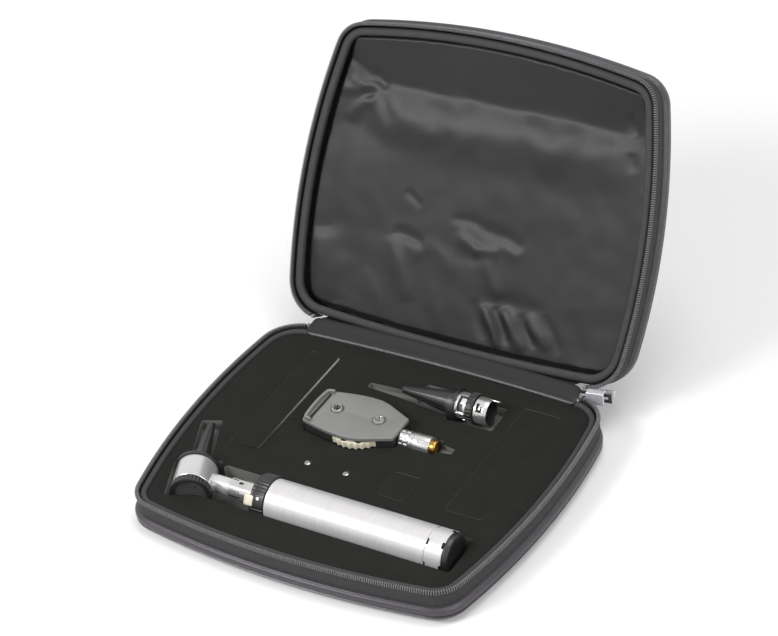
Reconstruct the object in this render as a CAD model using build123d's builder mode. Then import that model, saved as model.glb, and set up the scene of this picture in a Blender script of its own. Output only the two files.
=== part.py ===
from build123d import *
import math
import os

# Otoscope set in a zipped carry case. Millimetres, +Z up, modelled with the lid open.
# Origin: centre of the flat underside of the base. +X runs along the hinge and +Y to the back,
# where the lid is hinged.

os.makedirs("parts", exist_ok=True)


def save(part, name):
    part.label = name
    export_step(part, f"parts/{name}.step")


# ---------------------------------------------------------------- case, driving dimensions
CASE_HALF_WIDTH = 124.0  # centre to the middle of either side, at the zipper teeth
CASE_HALF_DEPTH = 102.0  # centre to the middle of the front or the back, at the zipper teeth
FRONT_CORNER_RADIUS = 18.0
REAR_CORNER_RADIUS = 23.5
LEAST_CORNER = 3.0  # where an inner outline would have no corner radius left
SIDE_BOW_RADIUS = 445.0  # the four sides bow outward, each on an arc of its own
SIDE_BOW_SHIFT = 21.0  # the case is widest this far behind its centre
FRONT_BOW_RADIUS = 606.0
REAR_BOW_RADIUS = 1600.0
HALF_HEIGHT = 25.0  # each half: outer face to the plane where the zipper closes
SHELL_HEIGHT = 13.5  # moulded shell, below the zipper tape
SHELL_PROUD = 4.0  # how far the shell stands out beyond the teeth
SHELL_ROUND = 9.0  # rounded edge between shell side and outer face
WALL = 2.5
CAVITY_GROW = 0.5  # inside of the shell at the front and sides
CAVITY_REAR = -1.5
REAR_PROUD = 0.6  # the back is flatter, so that the halves can fold
SEAM_HEIGHT = 6.4  # thin line between the two raised bands of the shell
SEAM_WIDTH = 0.7
SEAM_DEPTH = 0.9
NECK_LOW = 11.4  # groove above the upper band, where the zipper tape is sewn in
NECK_HIGH = 12.7
NECK_GROW = 1.9
NECK_REAR_CLEAR = 0.5  # the groove runs out before the back
TAPE_GROW = 0.6
TAPE_THICKNESS = 0.8
TEETH_LOW = 21.0
TEETH_TOP_GAP = 0.2  # the closed teeth of the two halves stay this far from the middle plane
TEETH_GROW_IN = -0.5
TEETH_GROW_OUT = 2.3
SPINE_THICKNESS = 1.0
SPINE_HALF_LENGTH = 95.0
TEETH_END_Y = 80.0  # the teeth end inside the two rear corners
STOP_LENGTH = 2.5
STOP_OVERHANG = 0.35
HINGE_BEHIND = 1.0  # hinge line of the spine, behind the line of the teeth
LID_OPEN_ANGLE = 120.0
SOFT_GAP = 0.3  # soft pieces stay this far from what they touch

HINGE_Y = CASE_HALF_DEPTH + HINGE_BEHIND
HINGE_AXIS = Axis((0, HINGE_Y, HALF_HEIGHT), (1, 0, 0))
TURNOVER_AXIS = Axis((0, 0, HALF_HEIGHT), (0, 1, 0))  # the halves are alike left and right


def outline(grow, rear_grow=None):
    """The bowed case outline, moved outward by grow, and by rear_grow along the hinge side."""
    rear = grow if rear_grow is None else rear_grow
    side_centre = SIDE_BOW_RADIUS - CASE_HALF_WIDTH
    with BuildSketch() as plan:
        with Locations(Location((-side_centre, SIDE_BOW_SHIFT, 0), (0, 0, 180))):
            Circle(SIDE_BOW_RADIUS + grow)
        with Locations((side_centre, SIDE_BOW_SHIFT)):
            Circle(SIDE_BOW_RADIUS + grow, mode=Mode.INTERSECT)
        with Locations((0, FRONT_BOW_RADIUS - CASE_HALF_DEPTH)):
            Circle(FRONT_BOW_RADIUS + grow, mode=Mode.INTERSECT)
        with Locations((0, CASE_HALF_DEPTH - REAR_BOW_RADIUS)):
            Circle(REAR_BOW_RADIUS + rear, mode=Mode.INTERSECT)
        front_corners = plan.vertices().filter_by(lambda v: v.Y < -CASE_HALF_DEPTH / 2)
        fillet(front_corners, max(FRONT_CORNER_RADIUS + grow, LEAST_CORNER))
        rear_corners = plan.vertices().filter_by(lambda v: v.Y > CASE_HALF_DEPTH / 2)
        fillet(rear_corners, max(REAR_CORNER_RADIUS + grow, LEAST_CORNER))
    return plan.sketch


def ring_plan(outer, inner, rear_outer=None, rear_inner=None):
    """The band between two outlines."""
    outer_face = outline(outer, rear_outer)
    inner_face = outline(inner, rear_inner)
    with BuildSketch() as band:
        add(outer_face)
        add(inner_face, mode=Mode.SUBTRACT)
    return band.sketch


def to_lid(part):
    """A half made in the base's place, turned over onto the lid and opened about the spine."""
    closed = part.rotate(TURNOVER_AXIS, 180)
    return closed.rotate(HINGE_AXIS, -LID_OPEN_ANGLE)


# ---------------------------------------------------------------- shells
# Each half has a moulded shell with a rounded edge and two raised bands round its side.
shell_plan = outline(SHELL_PROUD, REAR_PROUD)
cavity_plan = outline(CAVITY_GROW, CAVITY_REAR)
seam_plan = ring_plan(SHELL_PROUD + 1, SHELL_PROUD - SEAM_DEPTH, REAR_PROUD + 1, REAR_PROUD - SEAM_DEPTH)
neck_plan = ring_plan(SHELL_PROUD + 1, NECK_GROW, REAR_PROUD + 1, REAR_PROUD + NECK_REAR_CLEAR)

with BuildPart() as cavity:
    with BuildSketch(Plane.XY.offset(WALL)):
        add(cavity_plan)
    extrude(amount=HALF_HEIGHT)
    fillet(cavity.faces().sort_by(Axis.Z)[0].edges(), SHELL_ROUND - WALL)

with BuildPart() as half_shell:
    with BuildSketch():
        add(shell_plan)
    extrude(amount=SHELL_HEIGHT)
    fillet(half_shell.faces().sort_by(Axis.Z)[0].edges(), SHELL_ROUND)
    add(cavity.part, mode=Mode.SUBTRACT)
    with BuildSketch(Plane.XY.offset(SEAM_HEIGHT)):
        add(seam_plan)
    extrude(amount=SEAM_WIDTH, mode=Mode.SUBTRACT)
    with BuildSketch(Plane.XY.offset(NECK_LOW)):
        add(neck_plan)
    extrude(amount=NECK_HIGH - NECK_LOW, mode=Mode.SUBTRACT)

save(to_lid(half_shell.part), "lid_shell")
save(half_shell.part, "base_shell")

# ---------------------------------------------------------------- zipper tape, teeth and stops
# The tape stands on the rim of the shell at the front and sides, and carries the teeth.
tape_plan = ring_plan(TAPE_GROW + TAPE_THICKNESS, TAPE_GROW)
teeth_plan = ring_plan(TEETH_GROW_OUT, TEETH_GROW_IN)
stop_plan = ring_plan(TEETH_GROW_OUT + STOP_OVERHANG, TEETH_GROW_IN - STOP_OVERHANG)
REACH = 2 * CASE_HALF_WIDTH  # larger than the case, for cutting planes

with BuildPart() as zipper_tape:
    with BuildSketch(Plane.XY.offset(SHELL_HEIGHT)):
        add(tape_plan)
        with Locations((0, CASE_HALF_DEPTH)):
            Rectangle(2 * SPINE_HALF_LENGTH + 1, REAR_CORNER_RADIUS, mode=Mode.SUBTRACT)
    extrude(amount=TEETH_LOW - SHELL_HEIGHT)

with BuildPart() as zipper_teeth:
    with BuildSketch(Plane.XY.offset(TEETH_LOW)):
        add(teeth_plan)
        with Locations((0, TEETH_END_Y)):
            Rectangle(REACH, REACH, align=(Align.CENTER, Align.MIN), mode=Mode.SUBTRACT)
    extrude(amount=HALF_HEIGHT - TEETH_TOP_GAP - TEETH_LOW)

with BuildPart() as end_stops:
    with BuildSketch(Plane.XY.offset(TEETH_LOW)):
        add(stop_plan)
        with Locations((0, TEETH_END_Y)):
            Rectangle(REACH, STOP_LENGTH, align=(Align.CENTER, Align.MIN), mode=Mode.INTERSECT)
    extrude(amount=HALF_HEIGHT - TEETH_TOP_GAP - TEETH_LOW)

for piece, name in ((zipper_tape, "zipper_tape"), (zipper_teeth, "zipper_teeth"), (end_stops, "end_stops")):
    save(to_lid(piece.part), f"lid_{name}")
    save(piece.part, f"base_{name}")

# ---------------------------------------------------------------- spine
# The leatherette spine joins the two shells along the back; each leaf ends at the fold.
spine_outer = outline(0, REAR_PROUD)
spine_inner = outline(0, REAR_PROUD - SPINE_THICKNESS)
FOLD_GAP = 0.3
FOLD_RADIUS = 0.42
FOLD_LENGTH = 44.0

with BuildPart() as spine_leaf:
    with BuildSketch(Plane.XY.offset(SHELL_HEIGHT)):
        add(spine_outer)
        add(spine_inner, mode=Mode.SUBTRACT)
        with Locations((0, CASE_HALF_DEPTH)):
            Rectangle(2 * SPINE_HALF_LENGTH, REAR_CORNER_RADIUS, mode=Mode.INTERSECT)
    extrude(amount=HALF_HEIGHT - FOLD_GAP - SHELL_HEIGHT)
save(to_lid(spine_leaf.part), "lid_spine")

# The base's leaf carries the rounded fold that the lid's leaf turns on.
with BuildPart() as base_spine:
    add(spine_leaf.part)
    with Locations(Location((0, HINGE_Y, HALF_HEIGHT), (0, 90, 0))):
        Cylinder(FOLD_RADIUS, FOLD_LENGTH)
    with Locations((0, HINGE_Y, HALF_HEIGHT - FOLD_GAP)):
        Box(
            FOLD_LENGTH,
            HINGE_BEHIND,
            2 * FOLD_GAP,
            align=(Align.CENTER, Align.MAX, Align.MAX),
        )
save(base_spine.part, "base_spine")

# ---------------------------------------------------------------- binding rolls
# A sewn roll covers the inside of each rim, narrow in the base and wide in the lid.
BASE_BINDING_IN = -5.0
BASE_BINDING_LOW = 18.8
BASE_BINDING_HIGH = 22.6
LID_BINDING_IN = -7.5
LID_BINDING_LOW = 19.0
LID_BINDING_HIGH = 24.0
BINDING_OUT = TEETH_GROW_IN - STOP_OVERHANG - 0.15
BINDING_REAR = REAR_PROUD - SPINE_THICKNESS - SOFT_GAP
BINDING_ROUND = 1.5


def binding_roll(inner, low, high):
    """A rounded roll inside the rim, from the inner outline out to the tape."""
    roll_plan = ring_plan(BINDING_OUT, inner, BINDING_REAR, inner)
    with BuildPart() as roll:
        with BuildSketch(Plane.XY.offset(low)):
            add(roll_plan)
        extrude(amount=high - low)
        fillet(roll.faces().sort_by(Axis.Z)[-1].edges(), BINDING_ROUND)
    return roll.part


save(to_lid(binding_roll(LID_BINDING_IN, LID_BINDING_LOW, LID_BINDING_HIGH)), "lid_binding")
save(binding_roll(BASE_BINDING_IN, BASE_BINDING_LOW, BASE_BINDING_HIGH), "base_binding")

# ---------------------------------------------------------------- lid lining
# Satin over padding. From the binding it slopes down to a flat panel, which leaves room
# for the instruments that stand above the foam.
LINING_ROUND = SHELL_ROUND - WALL
LINING_STEP = LID_BINDING_LOW - SOFT_GAP
LINING_TOP = 22.5
LINING_GROW = LID_BINDING_IN - SOFT_GAP
SLOPE_TOP_GROW = LINING_GROW - 0.6
PANEL_GROW = -15.0  # steep at the sides and the spine
PANEL_FRONT = -70.0  # a long slope at the front of the lid
PANEL_CORNER = 9.0
PANEL_HEIGHT = 12.8
lining_wide = outline(CAVITY_GROW - SOFT_GAP, CAVITY_REAR - SOFT_GAP)
lining_narrow = outline(LINING_GROW)
slope_top = outline(SLOPE_TOP_GROW)
with BuildSketch() as panel_sketch:
    add(outline(PANEL_GROW))
    with Locations((0, PANEL_FRONT)):
        Rectangle(2 * REACH, 2 * REACH, align=(Align.CENTER, Align.MIN), mode=Mode.INTERSECT)
    panel_corners = panel_sketch.vertices().filter_by(lambda v: v.Y < PANEL_FRONT + 1)
    fillet(panel_corners, PANEL_CORNER)
panel_plan = panel_sketch.sketch

with BuildPart() as slope:
    with BuildSketch(Plane.XY.offset(PANEL_HEIGHT)):
        add(panel_plan)
    with BuildSketch(Plane.XY.offset(LINING_TOP)):
        add(slope_top)
    loft(ruled=True)

with BuildPart() as lid_lining:
    with BuildSketch(Plane.XY.offset(WALL + SOFT_GAP)):
        add(lining_wide)
    extrude(amount=LINING_STEP - WALL - SOFT_GAP)
    fillet(lid_lining.faces().sort_by(Axis.Z)[0].edges(), LINING_ROUND)
    with BuildSketch(Plane.XY.offset(LINING_STEP)):
        add(lining_narrow)
    extrude(amount=LINING_TOP - LINING_STEP)
    add(slope.part, mode=Mode.SUBTRACT)

save(to_lid(lid_lining.part), "lid_lining")

# ---------------------------------------------------------------- instruments, driving dimensions
# Otoscope: its handle lies along X, half sunk in the foam, and its head turns to the back.
FOAM_TOP = 21.0
HANDLE_Y = -56.8
HANDLE_Z = 19.5
TUBE_RADIUS = 14.0
TUBE_BORE = 13.3
TUBE_LEFT = -29.0
TUBE_LENGTH = 111.0
COLLAR_RADIUS = 15.2
COLLAR_LENGTH = 10.0
COLLAR_GAP = 0.2
CAP_RADIUS = 14.5
CAP_LENGTH = 12.5
PLUG_LENGTH = 2.6
SLEEVE_RADIUS = 7.0
NECK_RADIUS = 5.6
SLEEVE_LEFT = -59.5
HEAD_X = -80.6  # centre of the front face of the lens ring
HEAD_Y = -73.2
HEAD_ANGLE = 22.0  # how far the head leans from square to the handle
LENS_RING_RADIUS = 13.4
LENS_RING_LENGTH = 5.0
BARREL_RADIUS = 13.0
BARREL_END = 24.0
SEAT_RADIUS = 14.3
SEAT_LENGTH = 3.5
SEAT_SHOULDER = 3.5
SPECULUM_TIP = 68.5
SPECULUM_BASE_RADIUS = 5.9
SPECULUM_TIP_RADIUS = 2.8
# Ophthalmoscope: faceplate up, neck to the right.
OPHTH_Y = 24.6
FACE_TOP = 28.0
FACE_THICKNESS = 2.5
BODY_LOW = 12.0
FACE_LEFT = -49.0
FACE_RIGHT = 13.5
FACE_END_HALF = 16.0  # half width at the brow end
FACE_WIDE_HALF = 20.3  # half width across the wheel
FACE_NECK_HALF = 10.0
NECK_Z = 20.3
OPHTH_NECK_RADIUS = 5.4
OPHTH_SLEEVE_RADIUS = 6.2
OPHTH_SLEEVE_LEFT = 23.0
OPHTH_SLEEVE_LENGTH = 12.0
CONTACT_LENGTH = 4.0
WHEEL_X = -15.0
WHEEL_RADIUS = 22.0
WHEEL_LOW = 20.5
WHEEL_THICKNESS = 4.0
WHEEL_TEETH = 33
SIGHT_X = -33.5
WINDOW_X = -3.2
# Nasal speculum: blades to the left, couplings to the right.
NASAL_Y = 63.0
NASAL_Z = 25.0
NASAL_RING_RADIUS = 10.6
NASAL_RING_LEFT = 29.2
NASAL_RING_LENGTH = 5.0
BLADE_TIP_X = -6.6
# Clearance between an instrument and the side of its pocket, and under it.
POCKET_SIDE = 1.2
POCKET_UNDER = 0.3


def along_x(x, y, z):
    """A plane square to the X axis, for pieces turned about a line along X."""
    return Plane(origin=(x, y, z), x_dir=(0, 1, 0), z_dir=(1, 0, 0))


UP_FROM = (Align.CENTER, Align.CENTER, Align.MIN)

# ---------------------------------------------------------------- otoscope handle
HANDLE_LINE = (HANDLE_Y, HANDLE_Z)
TUBE_RIGHT = TUBE_LEFT + TUBE_LENGTH
CAP_SKIRT = 0.15  # the cap stops just short of the tube
CELL_RADIUS = 13.1
CELL_LENGTH = 50.0
CELL_NUB_RADIUS = 3.0
CELL_NUB = 1.5
CONTACT_THICKNESS = 1.2
CONTACT_RADIUS = 9.0
CONTACT_GAP = 0.3
FLUTE_COUNT = 30
FLUTE_DEPTH = 0.5
FLUTE_WIDTH = 1.2

with BuildPart(along_x(TUBE_LEFT, *HANDLE_LINE)) as handle_tube:
    Cylinder(TUBE_RADIUS, TUBE_LENGTH, align=UP_FROM)
    Cylinder(TUBE_BORE, TUBE_LENGTH, align=UP_FROM, mode=Mode.SUBTRACT)
save(handle_tube.part, "handle_tube")

# Two cells end to end, nub towards the head, between a contact disc and a spring.
CONTACT_X = TUBE_LEFT + 2.0
FIRST_CELL = CONTACT_X + CONTACT_THICKNESS + CELL_NUB + CONTACT_GAP
CELL_PITCH = CELL_LENGTH + CELL_NUB
with BuildPart() as battery_cells:
    for number in range(2):
        cell_plane = along_x(FIRST_CELL + number * CELL_PITCH, *HANDLE_LINE)
        with BuildSketch(cell_plane):
            Circle(CELL_RADIUS)
        extrude(amount=CELL_LENGTH - CONTACT_GAP)
        with BuildSketch(cell_plane):
            Circle(CELL_NUB_RADIUS)
        extrude(amount=-CELL_NUB)
save(battery_cells.part, "battery_cells")

with BuildPart(along_x(CONTACT_X, *HANDLE_LINE)) as contact_disc:
    Cylinder(TUBE_BORE - 0.1, CONTACT_THICKNESS, align=UP_FROM)
save(contact_disc.part, "contact_disc")

CELLS_END = FIRST_CELL + 2 * CELL_PITCH - CELL_NUB
SPRING_END = TUBE_RIGHT + CAP_LENGTH - 3.0
SPRING_WIRE = 0.6
SPRING_PITCH = 2.4
SPRING_RADIUS = 8.0
spring_length = SPRING_END - CELLS_END - 2 * (SPRING_WIRE + CONTACT_GAP)
with BuildPart() as upright_spring:
    with BuildLine() as coil:
        Helix(SPRING_PITCH, spring_length, SPRING_RADIUS)
    with BuildSketch(Plane(origin=coil.line @ 0, z_dir=coil.line % 0)):
        Circle(SPRING_WIRE)
    sweep(is_frenet=True)
spring_seat = along_x(CELLS_END + SPRING_WIRE + CONTACT_GAP, *HANDLE_LINE)
save(spring_seat.location * upright_spring.part, "battery_spring")

# End cap, screwed on, with coin notches, and a black end plug that bulges a little.
CAP_LEFT = TUBE_RIGHT + CAP_SKIRT
NOTCH_COUNT = 6
NOTCH_WIDTH = 2.4
NOTCH_LENGTH = 2.2
with BuildPart(along_x(CAP_LEFT, *HANDLE_LINE)) as handle_end_cap:
    Cylinder(CAP_RADIUS, CAP_LENGTH, align=UP_FROM)
    with BuildSketch(along_x(CAP_LEFT, *HANDLE_LINE)):
        Circle(TUBE_BORE)
    extrude(amount=CAP_LENGTH - 3.0, mode=Mode.SUBTRACT)
    with BuildSketch(along_x(CAP_LEFT, *HANDLE_LINE)):
        with PolarLocations(CAP_RADIUS, NOTCH_COUNT, start_angle=20):
            Rectangle(1.4, NOTCH_WIDTH)
    extrude(amount=NOTCH_LENGTH, mode=Mode.SUBTRACT)
    with BuildSketch(along_x(CAP_LEFT + CAP_LENGTH - NOTCH_LENGTH, *HANDLE_LINE)):
        with PolarLocations(CAP_RADIUS, NOTCH_COUNT, start_angle=50):
            Rectangle(1.4, NOTCH_WIDTH)
    extrude(amount=NOTCH_LENGTH, mode=Mode.SUBTRACT)
save(handle_end_cap.part, "handle_end_cap")

PLUG_X = CAP_LEFT + CAP_LENGTH
with BuildPart(along_x(PLUG_X, *HANDLE_LINE)) as end_plug:
    Cylinder(CAP_RADIUS - 0.7, PLUG_LENGTH, align=UP_FROM)
    fillet(end_plug.faces().sort_by(Axis.X)[-1].edges(), PLUG_LENGTH - 0.4)
save(end_plug.part, "handle_end_plug")

# Rheostat collar, fluted, with the cream switch button set in its edge towards the head.
COLLAR_X = TUBE_LEFT - COLLAR_GAP - COLLAR_LENGTH
BUTTON_ANGLE = 150.0
BUTTON_WIDTH = 7.0
BUTTON_DEPTH = 5.4
BUTTON_OUT = 3.2
BUTTON_IN = 3.4
BUTTON_TRAVEL = 1.5
BUTTON_CENTRE = 12.6
with BuildPart(along_x(COLLAR_X, *HANDLE_LINE)) as rheostat_collar:
    Cylinder(COLLAR_RADIUS, COLLAR_LENGTH, align=UP_FROM)
    Cylinder(SLEEVE_RADIUS + COLLAR_GAP, COLLAR_LENGTH, align=UP_FROM, mode=Mode.SUBTRACT)
    chamfer(rheostat_collar.faces().sort_by(Axis.X)[0].edges().sort_by(SortBy.RADIUS)[-1:], 0.8)
    with BuildSketch(along_x(COLLAR_X + 2.5, *HANDLE_LINE)):
        with PolarLocations(COLLAR_RADIUS, FLUTE_COUNT):
            Rectangle(2 * FLUTE_DEPTH, FLUTE_WIDTH)
    extrude(amount=COLLAR_LENGTH, mode=Mode.SUBTRACT)
    with BuildSketch(along_x(COLLAR_X, *HANDLE_LINE)):
        with PolarLocations(BUTTON_CENTRE, 1, start_angle=BUTTON_ANGLE):
            Rectangle(BUTTON_DEPTH + 0.2, BUTTON_WIDTH + 0.2)
    extrude(amount=BUTTON_IN + BUTTON_TRAVEL + 0.1, mode=Mode.SUBTRACT)
save(rheostat_collar.part, "rheostat_collar")

with BuildPart() as switch_button:
    with BuildSketch(along_x(COLLAR_X + BUTTON_IN, *HANDLE_LINE)):
        with PolarLocations(BUTTON_CENTRE, 1, start_angle=BUTTON_ANGLE):
            RectangleRounded(BUTTON_DEPTH, BUTTON_WIDTH, 1.2)
    extrude(amount=-BUTTON_IN - BUTTON_OUT)
    fillet(switch_button.faces().sort_by(Axis.X)[0].edges(), 0.9)
save(switch_button.part, "switch_button")

# Bayonet sleeve at the top of the handle, with slots, held in the tube by its flange.
SLEEVE_RIGHT = TUBE_LEFT + 1.6
SLEEVE_BORE = NECK_RADIUS + 0.05
SLOT_WIDTH = 1.4
with BuildPart(along_x(SLEEVE_LEFT, *HANDLE_LINE)) as handle_sleeve:
    Cylinder(SLEEVE_RADIUS, SLEEVE_RIGHT - SLEEVE_LEFT, align=UP_FROM)
    with BuildSketch(along_x(TUBE_LEFT + 0.1, *HANDLE_LINE)):
        Circle(TUBE_BORE - 0.1)
    extrude(amount=1.5)
    with BuildSketch(along_x(SLEEVE_LEFT, *HANDLE_LINE)):
        Circle(SLEEVE_BORE)
    extrude(amount=15.0, mode=Mode.SUBTRACT)
    with BuildSketch(along_x(SLEEVE_LEFT, *HANDLE_LINE)):
        with PolarLocations(SLEEVE_RADIUS, 3, start_angle=60):
            Rectangle(4.0, SLOT_WIDTH)
    extrude(amount=9.0, mode=Mode.SUBTRACT)
save(handle_sleeve.part, "handle_sleeve")

# ---------------------------------------------------------------- otoscope head
HEAD_LEAN = math.radians(HEAD_ANGLE)
HEAD_DIR = (-math.sin(HEAD_LEAN), math.cos(HEAD_LEAN), 0)
HEAD_SIDE = (math.cos(HEAD_LEAN), math.sin(HEAD_LEAN), 0)
LENS_BORE = 10.5
LENS_RADIUS = 10.4
LENS_THICKNESS = 2.0
BARREL_BORE = 11.0
RING_GROOVES = 36
JOIN_GAP = 0.02  # between faces that only meet


def head_plane(along):
    """A plane square to the head's axis, a distance along it from the lens."""
    return Plane(
        origin=(HEAD_X + HEAD_DIR[0] * along, HEAD_Y + HEAD_DIR[1] * along, HANDLE_Z),
        x_dir=HEAD_SIDE,
        z_dir=HEAD_DIR,
    )


def head_turned(profile):
    """Turn a profile of (radius, distance along) points about the head's axis."""
    with BuildPart() as turned:
        with BuildSketch(Plane(origin=head_plane(0).origin, x_dir=HEAD_SIDE, z_dir=(0, 0, 1))):
            Polygon(*profile, align=None)
        revolve(axis=Axis(head_plane(0).origin, HEAD_DIR))
    return turned.part


with BuildPart(head_plane(0)) as lens_ring:
    Cylinder(LENS_RING_RADIUS, LENS_RING_LENGTH - COLLAR_GAP, align=UP_FROM)
    Cylinder(LENS_BORE, LENS_RING_LENGTH, align=UP_FROM, mode=Mode.SUBTRACT)
    with BuildSketch(head_plane(0.8)):
        with PolarLocations(LENS_RING_RADIUS, RING_GROOVES):
            Rectangle(2 * FLUTE_DEPTH, FLUTE_WIDTH)
    extrude(amount=LENS_RING_LENGTH, mode=Mode.SUBTRACT)
save(lens_ring.part, "lens_ring")

with BuildPart(head_plane(1.2)) as magnifier_lens:
    Cylinder(LENS_RADIUS, LENS_THICKNESS, align=UP_FROM)
save(magnifier_lens.part, "magnifier_lens")

with BuildPart(head_plane(LENS_RING_LENGTH)) as otoscope_barrel:
    Cylinder(BARREL_RADIUS, BARREL_END - LENS_RING_LENGTH, align=UP_FROM)
    Cylinder(BARREL_BORE, BARREL_END, align=UP_FROM, mode=Mode.SUBTRACT)
save(otoscope_barrel.part, "otoscope_barrel")

# The neck meets the barrel's side and runs into the handle's sleeve.
NECK_LEFT = -84.0
NECK_INSIDE = 13.0
with BuildPart(along_x(NECK_LEFT, *HANDLE_LINE)) as otoscope_neck:
    Cylinder(NECK_RADIUS, SLEEVE_LEFT + NECK_INSIDE - NECK_LEFT, align=UP_FROM)
    with BuildSketch(head_plane(-BARREL_END)):
        Circle(BARREL_RADIUS + JOIN_GAP)
    extrude(amount=3 * BARREL_END, mode=Mode.SUBTRACT)
save(otoscope_neck.part, "otoscope_neck")

# Speculum seat ring, with a shoulder that narrows to the speculum.
SEAT_MOUTH = SPECULUM_BASE_RADIUS + 0.1
SEAT_END = BARREL_END + SEAT_LENGTH
seat_profile = (
    (SEAT_RADIUS, BARREL_END + JOIN_GAP),
    (SEAT_RADIUS, SEAT_END),
    (SEAT_MOUTH + 1.2, SEAT_END + SEAT_SHOULDER),
    (SEAT_MOUTH, SEAT_END + SEAT_SHOULDER),
    (SEAT_MOUTH, SEAT_END + SEAT_SHOULDER - 1.6),
    (BARREL_BORE, BARREL_END + 1.6),
    (BARREL_BORE, BARREL_END + JOIN_GAP),
)
save(head_turned(seat_profile), "speculum_seat")

SPECULUM_WALL = 0.8
SPECULUM_START = SEAT_END
speculum_profile = (
    (SPECULUM_BASE_RADIUS, SPECULUM_START),
    (SPECULUM_BASE_RADIUS, SEAT_END + SEAT_SHOULDER),
    (SPECULUM_TIP_RADIUS, SPECULUM_TIP),
    (SPECULUM_TIP_RADIUS - SPECULUM_WALL, SPECULUM_TIP),
    (SPECULUM_BASE_RADIUS - SPECULUM_WALL, SEAT_END + SEAT_SHOULDER),
    (SPECULUM_BASE_RADIUS - SPECULUM_WALL, SPECULUM_START),
)
save(head_turned(speculum_profile), "ear_speculum")

LAMP_RADIUS = 1.6
LAMP_LENGTH = 9.0
LAMP_OFFSET = 9.2  # from the head's axis, low in the barrel
with BuildPart() as otoscope_bulb:
    with BuildSketch(head_plane(13.0)):
        with Locations((LAMP_OFFSET, 0)):
            Circle(LAMP_RADIUS)
    extrude(amount=LAMP_LENGTH)
    fillet(otoscope_bulb.faces().sort_by(Axis.Y)[-1].edges(), LAMP_RADIUS - 0.4)
save(otoscope_bulb.part, "otoscope_bulb")

# ---------------------------------------------------------------- ophthalmoscope
FACE_CORNERS = ((-26.0, FACE_WIDE_HALF), (-14.0, FACE_WIDE_HALF), (3.0, 14.0), (FACE_RIGHT, FACE_NECK_HALF))
FACE_BOW = 1.4
HOUSING_INSET = 0.6
WHEEL_SIDE = 0.3
PIVOT_RADIUS = 2.0
PIVOT_FIT = 0.05
TOOTH_GAP_RADIUS = 1.6
TOOTH_GAP_OUT = 0.6
SIGHT_OFFSET = 1.7  # the sight hole and window stand a little behind the middle line
SIGHT_RADIUS = 2.6
BEZEL_HEIGHT = 1.4
BEZEL_WIDTH = 1.7
LENS_COUNT = 12
WHEEL_LENS_RADIUS = 2.3
WHEEL_LENS_THICKNESS = 1.2


def face_outline(inset):
    """The ophthalmoscope's outline seen from above, drawn in by an inset."""
    upper = [(x, OPHTH_Y + half) for x, half in FACE_CORNERS]
    lower = [(x, OPHTH_Y - half) for x, half in reversed(FACE_CORNERS)]
    top_left = (FACE_LEFT, OPHTH_Y + FACE_END_HALF)
    low_left = (FACE_LEFT, OPHTH_Y - FACE_END_HALF)
    with BuildSketch() as face:
        with BuildLine():
            Polyline(top_left, *upper, *lower, low_left)
            ThreePointArc(low_left, (FACE_LEFT - FACE_BOW, OPHTH_Y), top_left)
        make_face()
        fillet(face.vertices().group_by(Axis.X)[0], 4.0)
        fillet(face.vertices().group_by(Axis.X)[-1], 2.5)
        fillet(face.vertices().filter_by(lambda v: abs(v.Y - OPHTH_Y) > FACE_WIDE_HALF - 0.1), 10.0)
        if inset:
            offset(amount=-inset, kind=Kind.INTERSECTION)
    return face.sketch


face_plan = face_outline(0)
housing_plan = face_outline(HOUSING_INSET)
FACE_LOW = FACE_TOP - FACE_THICKNESS
SIGHT = (SIGHT_X, OPHTH_Y + SIGHT_OFFSET)
WINDOW = (WINDOW_X, OPHTH_Y + SIGHT_OFFSET)

with BuildPart() as ophth_housing:
    with BuildSketch(Plane.XY.offset(BODY_LOW)):
        add(housing_plan)
    extrude(amount=FACE_LOW - BODY_LOW)
    fillet(ophth_housing.faces().sort_by(Axis.Z)[0].edges(), 1.5)
    with BuildSketch(Plane.XY.offset(WHEEL_LOW - WHEEL_SIDE)):
        with Locations((WHEEL_X, OPHTH_Y)):
            Circle(WHEEL_RADIUS + WHEEL_SIDE)
    extrude(amount=WHEEL_THICKNESS + 2 * WHEEL_SIDE, mode=Mode.SUBTRACT)
    with BuildSketch(Plane.XY.offset(BODY_LOW)):
        with Locations(SIGHT):
            Circle(SIGHT_RADIUS)
    extrude(amount=FACE_LOW, mode=Mode.SUBTRACT)
    with BuildSketch(Plane.XY.offset(WHEEL_LOW)):
        with Locations(WINDOW):
            Circle(SIGHT_RADIUS)
    extrude(amount=FACE_LOW, mode=Mode.SUBTRACT)
    with BuildSketch(Plane.XY.offset(WHEEL_LOW - WHEEL_SIDE - 2)):
        with Locations((WHEEL_X, OPHTH_Y)):
            Circle(PIVOT_RADIUS)
    extrude(amount=FACE_LOW, mode=Mode.SUBTRACT)
save(ophth_housing.part, "ophth_housing")

with BuildPart() as ophth_faceplate:
    with BuildSketch(Plane.XY.offset(FACE_LOW)):
        add(face_plan)
        with Locations(SIGHT, WINDOW):
            Circle(SIGHT_RADIUS, mode=Mode.SUBTRACT)
    extrude(amount=FACE_THICKNESS)
    chamfer(ophth_faceplate.faces().sort_by(Axis.Z)[-1].outer_wire().edges(), 0.5)
save(ophth_faceplate.part, "ophth_faceplate")

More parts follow.
